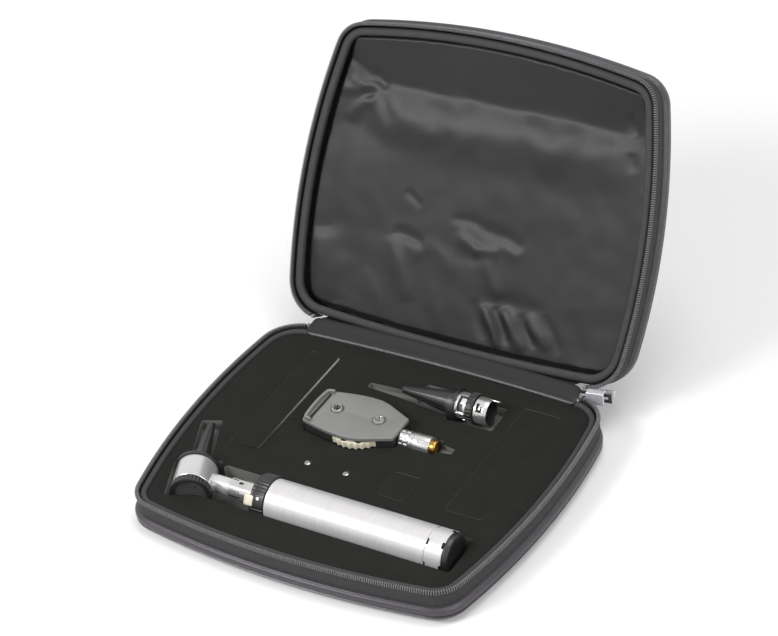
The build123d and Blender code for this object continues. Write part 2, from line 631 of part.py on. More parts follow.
# The brow rest is a low ridge round the end that is held to the brow.
BROW_HEIGHT = 2.4
BROW_INSET = 1.0
BROW_WIDTH = 2.0
BROW_REACH = 7.5
brow_outer = face_outline(BROW_INSET)
brow_inner = face_outline(BROW_INSET + BROW_WIDTH)
with BuildPart() as brow_rest:
    with BuildSketch(Plane.XY.offset(FACE_TOP)):
        add(brow_outer)
        add(brow_inner, mode=Mode.SUBTRACT)
        with Locations((FACE_LEFT - FACE_BOW, OPHTH_Y)):
            Rectangle(2 * BROW_REACH, 3 * FACE_WIDE_HALF, mode=Mode.INTERSECT)
    extrude(amount=BROW_HEIGHT)
    fillet(brow_rest.faces().sort_by(Axis.Z)[-1].edges(), 0.6)
save(brow_rest.part, "brow_rest")


def bezel(centre, outer):
    """A raised ring round a hole in the faceplate."""
    with BuildPart() as ring:
        with BuildSketch(Plane.XY.offset(FACE_TOP)):
            with Locations(centre):
                Circle(outer)
                Circle(SIGHT_RADIUS, mode=Mode.SUBTRACT)
        extrude(amount=BEZEL_HEIGHT)
        chamfer(ring.faces().sort_by(Axis.Z)[-1].outer_wire().edges(), 0.5)
    return ring.part


save(bezel(SIGHT, SIGHT_RADIUS + BEZEL_WIDTH), "sight_bezel")
save(bezel(WINDOW, SIGHT_RADIUS + BEZEL_WIDTH), "window_bezel")

with BuildPart() as window_lens:
    with BuildSketch(Plane.XY.offset(FACE_TOP - 0.6)):
        with Locations(WINDOW):
            Circle(SIGHT_RADIUS)
    extrude(amount=1.2)
save(window_lens.part, "window_lens")

# Toothed wheel of lenses, turned by a finger on its edge.
WHEEL_HUB = (WHEEL_X, OPHTH_Y)
LENS_CIRCLE = math.hypot(SIGHT_X - WHEEL_X, SIGHT_OFFSET)
FIRST_LENS = math.degrees(math.atan2(SIGHT_OFFSET, SIGHT_X - WHEEL_X))
with BuildPart() as lens_wheel:
    with BuildSketch(Plane.XY.offset(WHEEL_LOW)):
        with Locations(WHEEL_HUB):
            Circle(WHEEL_RADIUS)
            Circle(PIVOT_RADIUS + PIVOT_FIT, mode=Mode.SUBTRACT)
            with PolarLocations(WHEEL_RADIUS + TOOTH_GAP_OUT, WHEEL_TEETH):
                Circle(TOOTH_GAP_RADIUS, mode=Mode.SUBTRACT)
            with PolarLocations(LENS_CIRCLE, LENS_COUNT, start_angle=FIRST_LENS):
                Circle(WHEEL_LENS_RADIUS, mode=Mode.SUBTRACT)
    extrude(amount=WHEEL_THICKNESS)
save(lens_wheel.part, "lens_wheel")

with BuildPart() as wheel_lenses:
    with BuildSketch(Plane.XY.offset(WHEEL_LOW + (WHEEL_THICKNESS - WHEEL_LENS_THICKNESS) / 2)):
        with Locations(WHEEL_HUB):
            with PolarLocations(LENS_CIRCLE, LENS_COUNT, start_angle=FIRST_LENS):
                Circle(WHEEL_LENS_RADIUS)
    extrude(amount=WHEEL_LENS_THICKNESS)
save(wheel_lenses.part, "wheel_lenses")

with BuildPart() as wheel_pivot:
    with BuildSketch(Plane.XY.offset(WHEEL_LOW - WHEEL_SIDE - 2)):
        with Locations(WHEEL_HUB):
            Circle(PIVOT_RADIUS)
    extrude(amount=FACE_LOW - WHEEL_LOW + WHEEL_SIDE + 2)
save(wheel_pivot.part, "wheel_pivot")

OPHTH_LINE = (OPHTH_Y, NECK_Z)
OPHTH_LAMP_BORE = 1.8
with BuildPart(along_x(FACE_RIGHT + JOIN_GAP, *OPHTH_LINE)) as ophth_neck:
    Cylinder(OPHTH_NECK_RADIUS, OPHTH_SLEEVE_LEFT - FACE_RIGHT - 2 * JOIN_GAP, align=UP_FROM)
    Cylinder(OPHTH_LAMP_BORE, LAMP_LENGTH, align=UP_FROM, mode=Mode.SUBTRACT)
save(ophth_neck.part, "ophth_neck")

with BuildPart(along_x(FACE_RIGHT + JOIN_GAP, *OPHTH_LINE)) as ophth_bulb:
    Cylinder(LAMP_RADIUS, LAMP_LENGTH - 1, align=UP_FROM)
save(ophth_bulb.part, "ophth_bulb")

with BuildPart(along_x(OPHTH_SLEEVE_LEFT, *OPHTH_LINE)) as ophth_sleeve:
    Cylinder(OPHTH_SLEEVE_RADIUS, OPHTH_SLEEVE_LENGTH, align=UP_FROM)
    chamfer(ophth_sleeve.edges().filter_by(GeomType.CIRCLE).sort_by(Axis.X)[:1], 0.5)
    with BuildSketch(along_x(OPHTH_SLEEVE_LEFT + OPHTH_SLEEVE_LENGTH, *OPHTH_LINE)):
        with PolarLocations(OPHTH_SLEEVE_RADIUS, 2, start_angle=130):
            Rectangle(2.4, 2.6)
    extrude(amount=-8.0, mode=Mode.SUBTRACT)
save(ophth_sleeve.part, "ophth_sleeve")

with BuildPart(along_x(OPHTH_SLEEVE_LEFT + OPHTH_SLEEVE_LENGTH + JOIN_GAP, *OPHTH_LINE)) as ophth_contact:
    Cylinder(OPHTH_SLEEVE_RADIUS - 1.2, CONTACT_LENGTH, align=UP_FROM)
    chamfer(ophth_contact.edges().filter_by(GeomType.CIRCLE).sort_by(Axis.X)[-1:], 0.8)
save(ophth_contact.part, "ophth_contact")

# ---------------------------------------------------------------- nasal speculum
NASAL_LINE = (NASAL_Y, NASAL_Z)
RING_BORE = 6.0
BLADE_START_X = NASAL_RING_LEFT - 0.5
BLADE_START_RADIUS = 7.8
BLADE_TIP_RADIUS = 2.4
BLADE_WALL = 1.1
BLADE_SPLIT = 0.4  # each blade stops this far from the middle plane
PIN_X = NASAL_RING_LEFT + 1.3
PIN_Z = NASAL_Z + 6.4
PIN_RADIUS = 1.0
PIN_FIT = 0.05
LUG_HALF = 2.4
LUG_SLACK = 0.4
LUG_RADIUS = 1.9
PIN_HALF = 4.2


def blade(upward):
    """Half a tapered tube, above or below the middle plane."""
    keep = Align.MIN if upward else Align.MAX
    taper = (
        (BLADE_TIP_X, 0),
        (BLADE_START_X, 0),
        (BLADE_START_X, BLADE_START_RADIUS),
        (BLADE_TIP_X, BLADE_TIP_RADIUS),
    )
    bore = (
        (BLADE_TIP_X - 1, 0),
        (BLADE_START_X + 1, 0),
        (BLADE_START_X + 1, BLADE_START_RADIUS - BLADE_WALL),
        (BLADE_TIP_X - 1, BLADE_TIP_RADIUS - BLADE_WALL),
    )
    middle = Plane(origin=(0, NASAL_Y, NASAL_Z))
    middle_line = Axis((0, NASAL_Y, NASAL_Z), (1, 0, 0))
    length = BLADE_START_X - BLADE_TIP_X
    with BuildPart() as half:
        with BuildSketch(middle):
            Polygon(*taper, align=None)
        revolve(axis=middle_line)
        with BuildSketch(middle):
            Polygon(*bore, align=None)
        revolve(axis=middle_line, mode=Mode.SUBTRACT)
        with Locations((BLADE_TIP_X, NASAL_Y, NASAL_Z + (BLADE_SPLIT if upward else -BLADE_SPLIT))):
            Box(
                length,
                3 * BLADE_START_RADIUS,
                2 * BLADE_START_RADIUS,
                align=(Align.MIN, Align.CENTER, keep),
                mode=Mode.INTERSECT,
            )
    return half.part


lower_blade = blade(False)
upper_blade = blade(True)
pin_plane = Plane(origin=(PIN_X, NASAL_Y, PIN_Z), x_dir=(1, 0, 0), z_dir=(0, -1, 0))

with BuildPart(along_x(NASAL_RING_LEFT, *NASAL_LINE)) as base_ring:
    Cylinder(NASAL_RING_RADIUS, NASAL_RING_LENGTH, align=UP_FROM)
    Cylinder(RING_BORE, NASAL_RING_LENGTH, align=UP_FROM, mode=Mode.SUBTRACT)
    with BuildSketch(Plane.XY.offset(PIN_Z - LUG_RADIUS - LUG_SLACK)):
        with Locations((PIN_X, NASAL_Y)):
            Rectangle(2 * (LUG_RADIUS + LUG_SLACK), 2 * (LUG_HALF + LUG_SLACK))
    extrude(amount=NASAL_RING_RADIUS, mode=Mode.SUBTRACT)
    with BuildSketch(pin_plane.offset(-PIN_HALF)):
        Circle(PIN_RADIUS)
    extrude(amount=2 * PIN_HALF, mode=Mode.SUBTRACT)
save(base_ring.part, "nasal_base_ring")

with BuildPart() as fixed_blade:
    add(lower_blade)
    with BuildSketch(along_x(BLADE_START_X, *NASAL_LINE)):
        Circle(BLADE_START_RADIUS)
        with Locations((0, -BLADE_SPLIT)):
            Rectangle(3 * BLADE_START_RADIUS, BLADE_START_RADIUS, align=(Align.CENTER, Align.MAX), mode=Mode.INTERSECT)
        Circle(BLADE_START_RADIUS - BLADE_WALL, mode=Mode.SUBTRACT)
    extrude(amount=NASAL_RING_LEFT - BLADE_START_X - JOIN_GAP)
save(fixed_blade.part, "nasal_fixed_blade")

with BuildPart() as moving_blade:
    add(upper_blade)
    with BuildSketch(pin_plane.offset(-LUG_HALF)):
        Circle(LUG_RADIUS)
        with Locations((-LUG_RADIUS, 0)):
            Rectangle(2 * LUG_RADIUS, 1.6)
    extrude(amount=2 * LUG_HALF)
    with BuildSketch(pin_plane.offset(-PIN_HALF)):
        Circle(PIN_RADIUS + PIN_FIT)
    extrude(amount=2 * PIN_HALF, mode=Mode.SUBTRACT)
save(moving_blade.part, "nasal_moving_blade")

with BuildPart() as pivot_pin:
    with BuildSketch(pin_plane.offset(-PIN_HALF)):
        Circle(PIN_RADIUS)
    extrude(amount=2 * PIN_HALF)
save(pivot_pin.part, "blade_pivot_pin")

# Bayonet socket with J slots, knurled turn ring, and the second bayonet end.
SOCKET_RADIUS = 8.6
SOCKET_LEFT = NASAL_RING_LEFT + NASAL_RING_LENGTH + JOIN_GAP
SOCKET_LENGTH = 7.6
TURN_RADIUS = 10.0
TURN_LENGTH = 5.0
TURN_GROOVES = 24
COUPLING_RADIUS = 8.6
COUPLING_LENGTH = 6.8
COUPLING_END_RADIUS = 8.0
COUPLING_END = 2.2
COUPLING_TAB = 4.5  # how far the tab runs on past the end
JOURNAL_RADIUS = 6.5
JOURNAL_FIT = 0.05
with BuildPart(along_x(SOCKET_LEFT, *NASAL_LINE)) as nasal_socket:
    Cylinder(SOCKET_RADIUS, SOCKET_LENGTH, align=UP_FROM)
    Cylinder(JOURNAL_RADIUS, SOCKET_LENGTH + TURN_LENGTH + 2 * COLLAR_GAP, align=UP_FROM)
    Cylinder(RING_BORE - 1, SOCKET_LENGTH + 2 * TURN_LENGTH, align=UP_FROM, mode=Mode.SUBTRACT)
    with BuildSketch(along_x(SOCKET_LEFT + 2.0, *NASAL_LINE)):
        with PolarLocations(SOCKET_RADIUS, 3, start_angle=100):
            Rectangle(3.0, 2.0)
    extrude(amount=SOCKET_LENGTH - 2.0, mode=Mode.SUBTRACT)
    with BuildSketch(along_x(SOCKET_LEFT + 2.0, *NASAL_LINE)):
        with PolarLocations(SOCKET_RADIUS, 3, start_angle=116):
            Rectangle(3.0, 4.4)
    extrude(amount=2.0, mode=Mode.SUBTRACT)
save(nasal_socket.part, "nasal_socket")

TURN_LEFT = SOCKET_LEFT + SOCKET_LENGTH + COLLAR_GAP
with BuildPart(along_x(TURN_LEFT, *NASAL_LINE)) as turn_ring:
    Cylinder(TURN_RADIUS, TURN_LENGTH, align=UP_FROM)
    Cylinder(JOURNAL_RADIUS + JOURNAL_FIT, TURN_LENGTH, align=UP_FROM, mode=Mode.SUBTRACT)
    with BuildSketch(along_x(TURN_LEFT, *NASAL_LINE)):
        with PolarLocations(TURN_RADIUS, TURN_GROOVES):
            Rectangle(2 * FLUTE_DEPTH, FLUTE_WIDTH)
    extrude(amount=TURN_LENGTH, mode=Mode.SUBTRACT)
save(turn_ring.part, "nasal_turn_ring")

COUPLING_LEFT = TURN_LEFT + TURN_LENGTH + COLLAR_GAP + JOIN_GAP
with BuildPart(along_x(COUPLING_LEFT, *NASAL_LINE)) as coupling:
    Cylinder(COUPLING_RADIUS, COUPLING_LENGTH, align=UP_FROM)
    Cylinder(COUPLING_END_RADIUS, COUPLING_LENGTH + COUPLING_END, align=UP_FROM)
    Cylinder(RING_BORE - 1, COUPLING_LENGTH + COUPLING_END, align=UP_FROM, mode=Mode.SUBTRACT)
    with BuildSketch(along_x(COUPLING_LEFT + 2.5, *NASAL_LINE)):
        with PolarLocations(COUPLING_RADIUS, 2, start_angle=110):
            Rectangle(2.4, 2.0)
    extrude(amount=COUPLING_LENGTH, mode=Mode.SUBTRACT)
    with BuildSketch(along_x(COUPLING_LEFT + 2.5, *NASAL_LINE)):
        with PolarLocations(COUPLING_RADIUS, 2, start_angle=124):
            Rectangle(2.4, 3.8)
    extrude(amount=2.0, mode=Mode.SUBTRACT)
    with BuildSketch(along_x(COUPLING_LEFT + COUPLING_LENGTH + 0.6, *NASAL_LINE)):
        with PolarLocations(COUPLING_END_RADIUS + 0.9, 1, start_angle=40):
            Rectangle(2.8, 2.2)
    extrude(amount=COUPLING_END - 0.6 + COUPLING_TAB)
save(coupling.part, "nasal_coupling")

# ---------------------------------------------------------------- foam insert
# Flocked foam fills the base; every pocket is cut down from its top face.
FOAM_SHOULDER = 18.5  # above this the foam is drawn in under the binding
FOAM_ROUND = SHELL_ROUND - WALL - SOFT_GAP
TROUGH_HALF = 16.0
TROUGH_LEFT = -75.0
TROUGH_RIGHT = 101.0
HEAD_POCKET_HALF = 16.4
HEAD_POCKET_BEFORE = 1.5
HEAD_POCKET_END = 32.0
SPECULUM_POCKET_HALF = 7.0
SPECULUM_POCKET_END = 71.5
OPHTH_CHANNEL_HALF = 7.4
OPHTH_CHANNEL_END = 40.4
WEDGE_FLOOR = 17.0
OPHTH_WEDGE = (39.0, 50.0, 9.0)
NASAL_RING_HALF = 11.9
NASAL_RING_POCKET = (27.6, 62.4)
BLADE_POCKET = ((28.6, 9.0), (-8.6, 4.2))
NASAL_WEDGE = ((-7.6, 4.2), (-33.0, 2.5))
FINGER_X = (2.0, 26.0)
FINGER_REAR = 78.0
STORE_FLOOR = 4.9
LEDGE = 2.0
PLUG_LOW = 13.0
PLUG_FIT = 0.4
PLUG_ROUND = 2.0
LEFT_STORE = ((-86.0, -63.5), (-21.0, 80.0))
RIGHT_STORE = ((70.5, 96.5), (-25.0, 80.0))
CENTRE_STORE = ((26.0, 44.0), (-28.5, -5.0))
STORES = (LEFT_STORE, RIGHT_STORE, CENTRE_STORE)
SPARE_BULBS = ((-28.7, -19.2), (-1.3, -18.9))
BULB_RADIUS = 2.1
BULB_HOLE = 2.4
BULB_LOW = 8.0
BULB_TOP = 21.4
POCKET_CORNER = 2.0
foam_wide = outline(CAVITY_GROW - SOFT_GAP, CAVITY_REAR - SOFT_GAP)
foam_narrow = outline(BASE_BINDING_IN - SOFT_GAP)


def box_plan(x_range, y_range, shrink=0.0, corner=POCKET_CORNER):
    """A rounded rectangle seen from above, drawn in by shrink on every side."""
    width = x_range[1] - x_range[0] - 2 * shrink
    depth = y_range[1] - y_range[0] - 2 * shrink
    with BuildSketch() as plan:
        with Locations(((x_range[0] + x_range[1]) / 2, (y_range[0] + y_range[1]) / 2)):
            RectangleRounded(width, depth, min(corner, 0.45 * width))
    return plan.sketch


def head_box(start, end, half):
    """A rectangle along the otoscope head's axis, seen from above."""
    corners = []
    for along, side in ((start, -half), (start, half), (end, half), (end, -half)):
        x = HEAD_X + HEAD_DIR[0] * along + HEAD_SIDE[0] * side
        y = HEAD_Y + HEAD_DIR[1] * along + HEAD_SIDE[1] * side
        corners.append((x, y))
    with BuildSketch() as plan:
        Polygon(*corners, align=None)
        fillet(plan.vertices(), POCKET_CORNER)
    return plan.sketch


def taper_plan(start, end, y):
    """A four-sided taper along X between two (x, half width) ends."""
    with BuildSketch() as plan:
        Polygon(
            (start[0], y - start[1]),
            (start[0], y + start[1]),
            (end[0], y + end[1]),
            (end[0], y - end[1]),
            align=None,
        )
    return plan.sketch


with BuildSketch() as wheel_clear:
    with Locations(WHEEL_HUB):
        Circle(WHEEL_RADIUS + POCKET_SIDE)

handle_span = (HANDLE_Y - TROUGH_HALF, HANDLE_Y + TROUGH_HALF)
collar_span = (COLLAR_X - 3.0, TUBE_LEFT + 1.0)
speculum_floor = HANDLE_Z - SPECULUM_BASE_RADIUS - POCKET_UNDER
sleeve_floor = NECK_Z - OPHTH_SLEEVE_RADIUS - POCKET_UNDER
ring_floor = NASAL_Z - NASAL_RING_RADIUS - POCKET_UNDER
blade_floor = NASAL_Z - BLADE_START_RADIUS - POCKET_UNDER
POCKETS = [
    (box_plan((TROUGH_LEFT, TROUGH_RIGHT), handle_span), HANDLE_Z - CAP_RADIUS - POCKET_UNDER),
    (box_plan(collar_span, handle_span, corner=0.5), HANDLE_Z - COLLAR_RADIUS - POCKET_UNDER),
    (head_box(-HEAD_POCKET_BEFORE, HEAD_POCKET_END, HEAD_POCKET_HALF), HANDLE_Z - SEAT_RADIUS - POCKET_UNDER),
    (head_box(HEAD_POCKET_END - 4, SPECULUM_POCKET_END, SPECULUM_POCKET_HALF), speculum_floor),
    (face_outline(-POCKET_SIDE), BODY_LOW - POCKET_UNDER),
    (wheel_clear.sketch, BODY_LOW - POCKET_UNDER),
    (
        box_plan((FACE_RIGHT - 2, OPHTH_CHANNEL_END), (OPHTH_Y - OPHTH_CHANNEL_HALF, OPHTH_Y + OPHTH_CHANNEL_HALF)),
        sleeve_floor,
    ),
    (taper_plan((OPHTH_WEDGE[0], OPHTH_WEDGE[2] / 2), (OPHTH_WEDGE[1], 2.5), OPHTH_Y), WEDGE_FLOOR),
    (box_plan(NASAL_RING_POCKET, (NASAL_Y - NASAL_RING_HALF, NASAL_Y + NASAL_RING_HALF)), ring_floor),
    (taper_plan(*BLADE_POCKET, NASAL_Y), blade_floor),
    (taper_plan(*NASAL_WEDGE, NASAL_Y), WEDGE_FLOOR),
    (box_plan(FINGER_X, (NASAL_Y, FINGER_REAR)), ring_floor),
]
for store in STORES:
    POCKETS.append((box_plan(*store), PLUG_LOW - POCKET_UNDER))
    POCKETS.append((box_plan(*store, shrink=LEDGE), STORE_FLOOR))

with BuildPart() as foam_insert:
    with BuildSketch(Plane.XY.offset(WALL + SOFT_GAP)):
        add(foam_wide)
    extrude(amount=FOAM_SHOULDER - WALL - SOFT_GAP)
    fillet(foam_insert.faces().sort_by(Axis.Z)[0].edges(), FOAM_ROUND)
    with BuildSketch(Plane.XY.offset(FOAM_SHOULDER)):
        add(foam_narrow)
    extrude(amount=FOAM_TOP - FOAM_SHOULDER)
    for pocket, floor in POCKETS:
        with BuildSketch(Plane.XY.offset(floor)):
            add(pocket)
        extrude(amount=FOAM_TOP, mode=Mode.SUBTRACT)
    with BuildSketch(Plane.XY.offset(BULB_LOW - POCKET_UNDER)):
        with Locations(*SPARE_BULBS):
            Circle(BULB_HOLE)
    extrude(amount=FOAM_TOP, mode=Mode.SUBTRACT)
save(foam_insert.part, "foam_insert")

# ---------------------------------------------------------------- storage plugs and spare bulbs
for store, name in ((LEFT_STORE, "left"), (RIGHT_STORE, "right"), (CENTRE_STORE, "centre")):
    with BuildPart() as plug:
        with BuildSketch(Plane.XY.offset(PLUG_LOW)):
            add(box_plan(*store, shrink=PLUG_FIT))
        extrude(amount=FOAM_TOP - PLUG_LOW)
        fillet(plug.faces().sort_by(Axis.Z)[-1].edges(), 0.6)
    save(plug.part, f"{name}_storage_plug")

GLASS_RADIUS = 1.5
GLASS_LOW = 13.0
for number, place in enumerate(SPARE_BULBS, start=1):
    with BuildPart() as bulb:
        with BuildSketch(Plane.XY.offset(BULB_LOW)):
            with Locations(place):
                Circle(GLASS_RADIUS)
        extrude(amount=GLASS_LOW - BULB_LOW)
        fillet(bulb.faces().sort_by(Axis.Z)[0].edges(), GLASS_RADIUS - 0.2)
        with BuildSketch(Plane.XY.offset(GLASS_LOW)):
            with Locations(place):
                Circle(BULB_RADIUS)
        extrude(amount=BULB_TOP - GLASS_LOW)
    save(bulb.part, f"spare_bulb_{number}")

# ---------------------------------------------------------------- zipper tail, slider and pull
# The free ends of the tape leave the case at its right rear corner, and the slider is parked there.
TAIL_START = (CASE_HALF_WIDTH - 41.0, CASE_HALF_DEPTH - 1.05)  # on the back of the spine
TAIL_HEIGHT = 23.0
TAIL_ANGLE = 8.5
TAIL_THICKNESS = 0.8
TAIL_LENGTH = 35.5
TAIL_SEWN = 11.0
TAIL_SEWN_LOW = 15.0
TAIL_SEWN_HIGH = 24.4
TAIL_FREE = 15.2
TAIL_PATCH = 2.2
STRIP_NEAR = 1.2  # from the middle plane to the inner edge of a strip
STRIP_FAR = 3.4
SLIDER_CENTRE = 25.1
SLIDER_LENGTH = 12.0
SLIDER_THICKNESS = 6.0
SLIDER_HALF = 4.5
SLIDER_WALL = 1.4
SLIDER_LIP = 0.8
POST_LENGTH = 5.0
POST_HALF = 0.9
BRIDGE_LENGTH = 8.0
BRIDGE_OUT = 2.4
BRIDGE_HALF = 1.2
BRIDGE_HOLE_LENGTH = 5.0
BRIDGE_HOLE = 1.3
PULL_PIN_RADIUS = 0.5
PULL_ANGLE = 16.5
PULL_ARM = 5.6
PULL_LENGTH = 11.5
PULL_HALF = 2.6
PULL_ARM_IN = 1.5
PULL_THICKNESS = 1.2
tail_frame = Location((*TAIL_START, TAIL_HEIGHT), (0, 0, TAIL_ANGLE))
LOW_STRIP = (-STRIP_FAR, -STRIP_NEAR)
HIGH_STRIP = (STRIP_NEAR, STRIP_FAR)


def slab(x_range, y_range, z_range, mode=Mode.ADD):
    """A block between two limits on each axis."""
    with Locations((x_range[0], y_range[0], z_range[0])):
        Box(
            x_range[1] - x_range[0],
            y_range[1] - y_range[0],
            z_range[1] - z_range[0],
            align=(Align.MIN, Align.MIN, Align.MIN),
            mode=mode,
        )


tail_side = (-TAIL_THICKNESS / 2, TAIL_THICKNESS / 2)
with BuildPart() as tail:
    slab((0, TAIL_SEWN), tail_side, (TAIL_SEWN_LOW - TAIL_HEIGHT, TAIL_SEWN_HIGH - TAIL_HEIGHT))
    slab((0, TAIL_LENGTH), tail_side, LOW_STRIP)
    slab((TAIL_FREE, TAIL_LENGTH), tail_side, HIGH_STRIP)
    slab((TAIL_LENGTH - TAIL_PATCH, TAIL_LENGTH), tail_side, (-STRIP_FAR, STRIP_FAR))
save(tail_frame * tail.part, "zipper_tail")

slider_x = (SLIDER_CENTRE - SLIDER_LENGTH / 2, SLIDER_CENTRE + SLIDER_LENGTH / 2)
plate_y = SLIDER_THICKNESS / 2
inner_y = plate_y - SLIDER_WALL
with BuildPart() as slider:
    slab(slider_x, (-plate_y, plate_y), (-SLIDER_HALF, SLIDER_HALF))
    fillet(slider.edges().filter_by(Axis.Y), 1.5)
    fillet(slider.faces().sort_by(Axis.Y)[-1].edges(), 0.6)
    fillet(slider.faces().sort_by(Axis.Y)[0].edges(), 0.6)
    slab(
        (slider_x[0] - 1, slider_x[1] + 1),
        (-inner_y, inner_y),
        (SLIDER_LIP - SLIDER_HALF, SLIDER_HALF - SLIDER_LIP),
        mode=Mode.SUBTRACT,
    )
    slab((slider_x[1] - POST_LENGTH, slider_x[1]), (-inner_y, inner_y), (-POST_HALF, POST_HALF))
    slab(
        (SLIDER_CENTRE - BRIDGE_LENGTH / 2, SLIDER_CENTRE + BRIDGE_LENGTH / 2),
        (plate_y - 0.2, plate_y + BRIDGE_OUT),
        (-BRIDGE_HALF, BRIDGE_HALF),
    )
    fillet(slider.faces().sort_by(Axis.Y)[-1].edges().filter_by(Axis.Z), 1.0)
    slab(
        (SLIDER_CENTRE - BRIDGE_HOLE_LENGTH / 2, SLIDER_CENTRE + BRIDGE_HOLE_LENGTH / 2),
        (plate_y, plate_y + BRIDGE_HOLE),
        (-SLIDER_HALF, SLIDER_HALF),
        mode=Mode.SUBTRACT,
    )
save(tail_frame * slider.part, "zipper_slider")

# The pull is a bent plate on a cross pin that passes under the slider's bridge.
pull_pivot = (SLIDER_CENTRE, plate_y + BRIDGE_HOLE / 2)
with BuildPart() as pull:
    with Locations((0, 0, 0)):
        Cylinder(PULL_PIN_RADIUS, 2 * PULL_HALF)
    for side in (1, -1):
        arm_z = sorted((side * PULL_ARM_IN, side * PULL_HALF))
        slab((0, PULL_ARM), (-PULL_THICKNESS / 2, PULL_THICKNESS / 2), arm_z)
    slab((PULL_ARM - 0.6, PULL_LENGTH), (-PULL_THICKNESS / 2, PULL_THICKNESS / 2), (-PULL_HALF, PULL_HALF))
    fillet(pull.faces().sort_by(Axis.X)[-1].edges().filter_by(Axis.Y), 2.0)
pull_frame = tail_frame * Location((*pull_pivot, 0), (0, 0, PULL_ANGLE - TAIL_ANGLE))
save(pull_frame * pull.part, "zipper_pull")
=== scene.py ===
import math

import bmesh
import bpy
from mathutils import Matrix, Vector, noise


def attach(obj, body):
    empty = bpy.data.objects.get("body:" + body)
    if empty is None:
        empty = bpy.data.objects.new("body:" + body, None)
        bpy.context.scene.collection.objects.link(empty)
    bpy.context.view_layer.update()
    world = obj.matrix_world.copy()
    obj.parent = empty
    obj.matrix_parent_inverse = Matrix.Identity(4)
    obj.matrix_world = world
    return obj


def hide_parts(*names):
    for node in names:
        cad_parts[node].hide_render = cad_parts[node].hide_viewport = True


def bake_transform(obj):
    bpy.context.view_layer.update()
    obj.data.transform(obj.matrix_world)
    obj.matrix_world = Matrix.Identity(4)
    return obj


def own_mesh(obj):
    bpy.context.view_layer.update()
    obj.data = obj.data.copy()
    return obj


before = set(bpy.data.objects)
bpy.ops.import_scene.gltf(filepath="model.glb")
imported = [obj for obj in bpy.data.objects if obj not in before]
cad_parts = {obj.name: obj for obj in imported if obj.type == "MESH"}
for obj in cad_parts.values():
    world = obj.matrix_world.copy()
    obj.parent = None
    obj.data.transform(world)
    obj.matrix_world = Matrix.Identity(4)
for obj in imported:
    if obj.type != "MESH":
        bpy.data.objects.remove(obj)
bpy.ops.object.select_all(action="DESELECT")
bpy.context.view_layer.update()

# ---- Table, light and camera.
# The case lies open on a white table under broad soft lamps, seen from the front right and above.
EYE = Vector((0.72590, -1.01248, 1.02935))
EYE_AXES = (
    (0.86114427, 0.49747197, -0.10465270),
    (-0.22307569, 0.55477214, 0.80153921),
    (0.45680169, -0.66689543, 0.58871275),
)
SENSOR_WIDTH, FOCAL_PIXELS, PICTURE_PIXELS = 36.0, 2600.0, 778.0
bpy.ops.object.camera_add(location=EYE)
camera = bpy.context.object
camera.matrix_world = Matrix.Translation(EYE) @ Matrix(EYE_AXES).transposed().to_4x4()
camera.data.sensor_width = SENSOR_WIDTH
camera.data.lens = FOCAL_PIXELS * SENSOR_WIDTH / PICTURE_PIXELS
camera.data.clip_end = 20.0
bpy.context.scene.camera = camera
bpy.context.scene.view_settings.view_transform = "Standard"


class Amount:
    """A number that varies over a surface, for sums written as Python expressions."""

    def __init__(self, finish, socket):
        self.finish, self.socket = finish, socket

    def maths(self, operation, other):
        return self.finish.node("ShaderNodeMath", (self, other), operation=operation)

    def __add__(self, other):
        return self.maths("ADD", other)

    def __mul__(self, other):
        return self.maths("MULTIPLY", other)

    __radd__, __rmul__ = __add__, __mul__

    def step(self, low, high):
        """0 below low, 1 above high, smooth between."""
        return self.finish.node(
            "ShaderNodeMapRange",
            {"Value": self, "From Min": low, "From Max": high},
            interpolation_type="SMOOTHSTEP",
        )


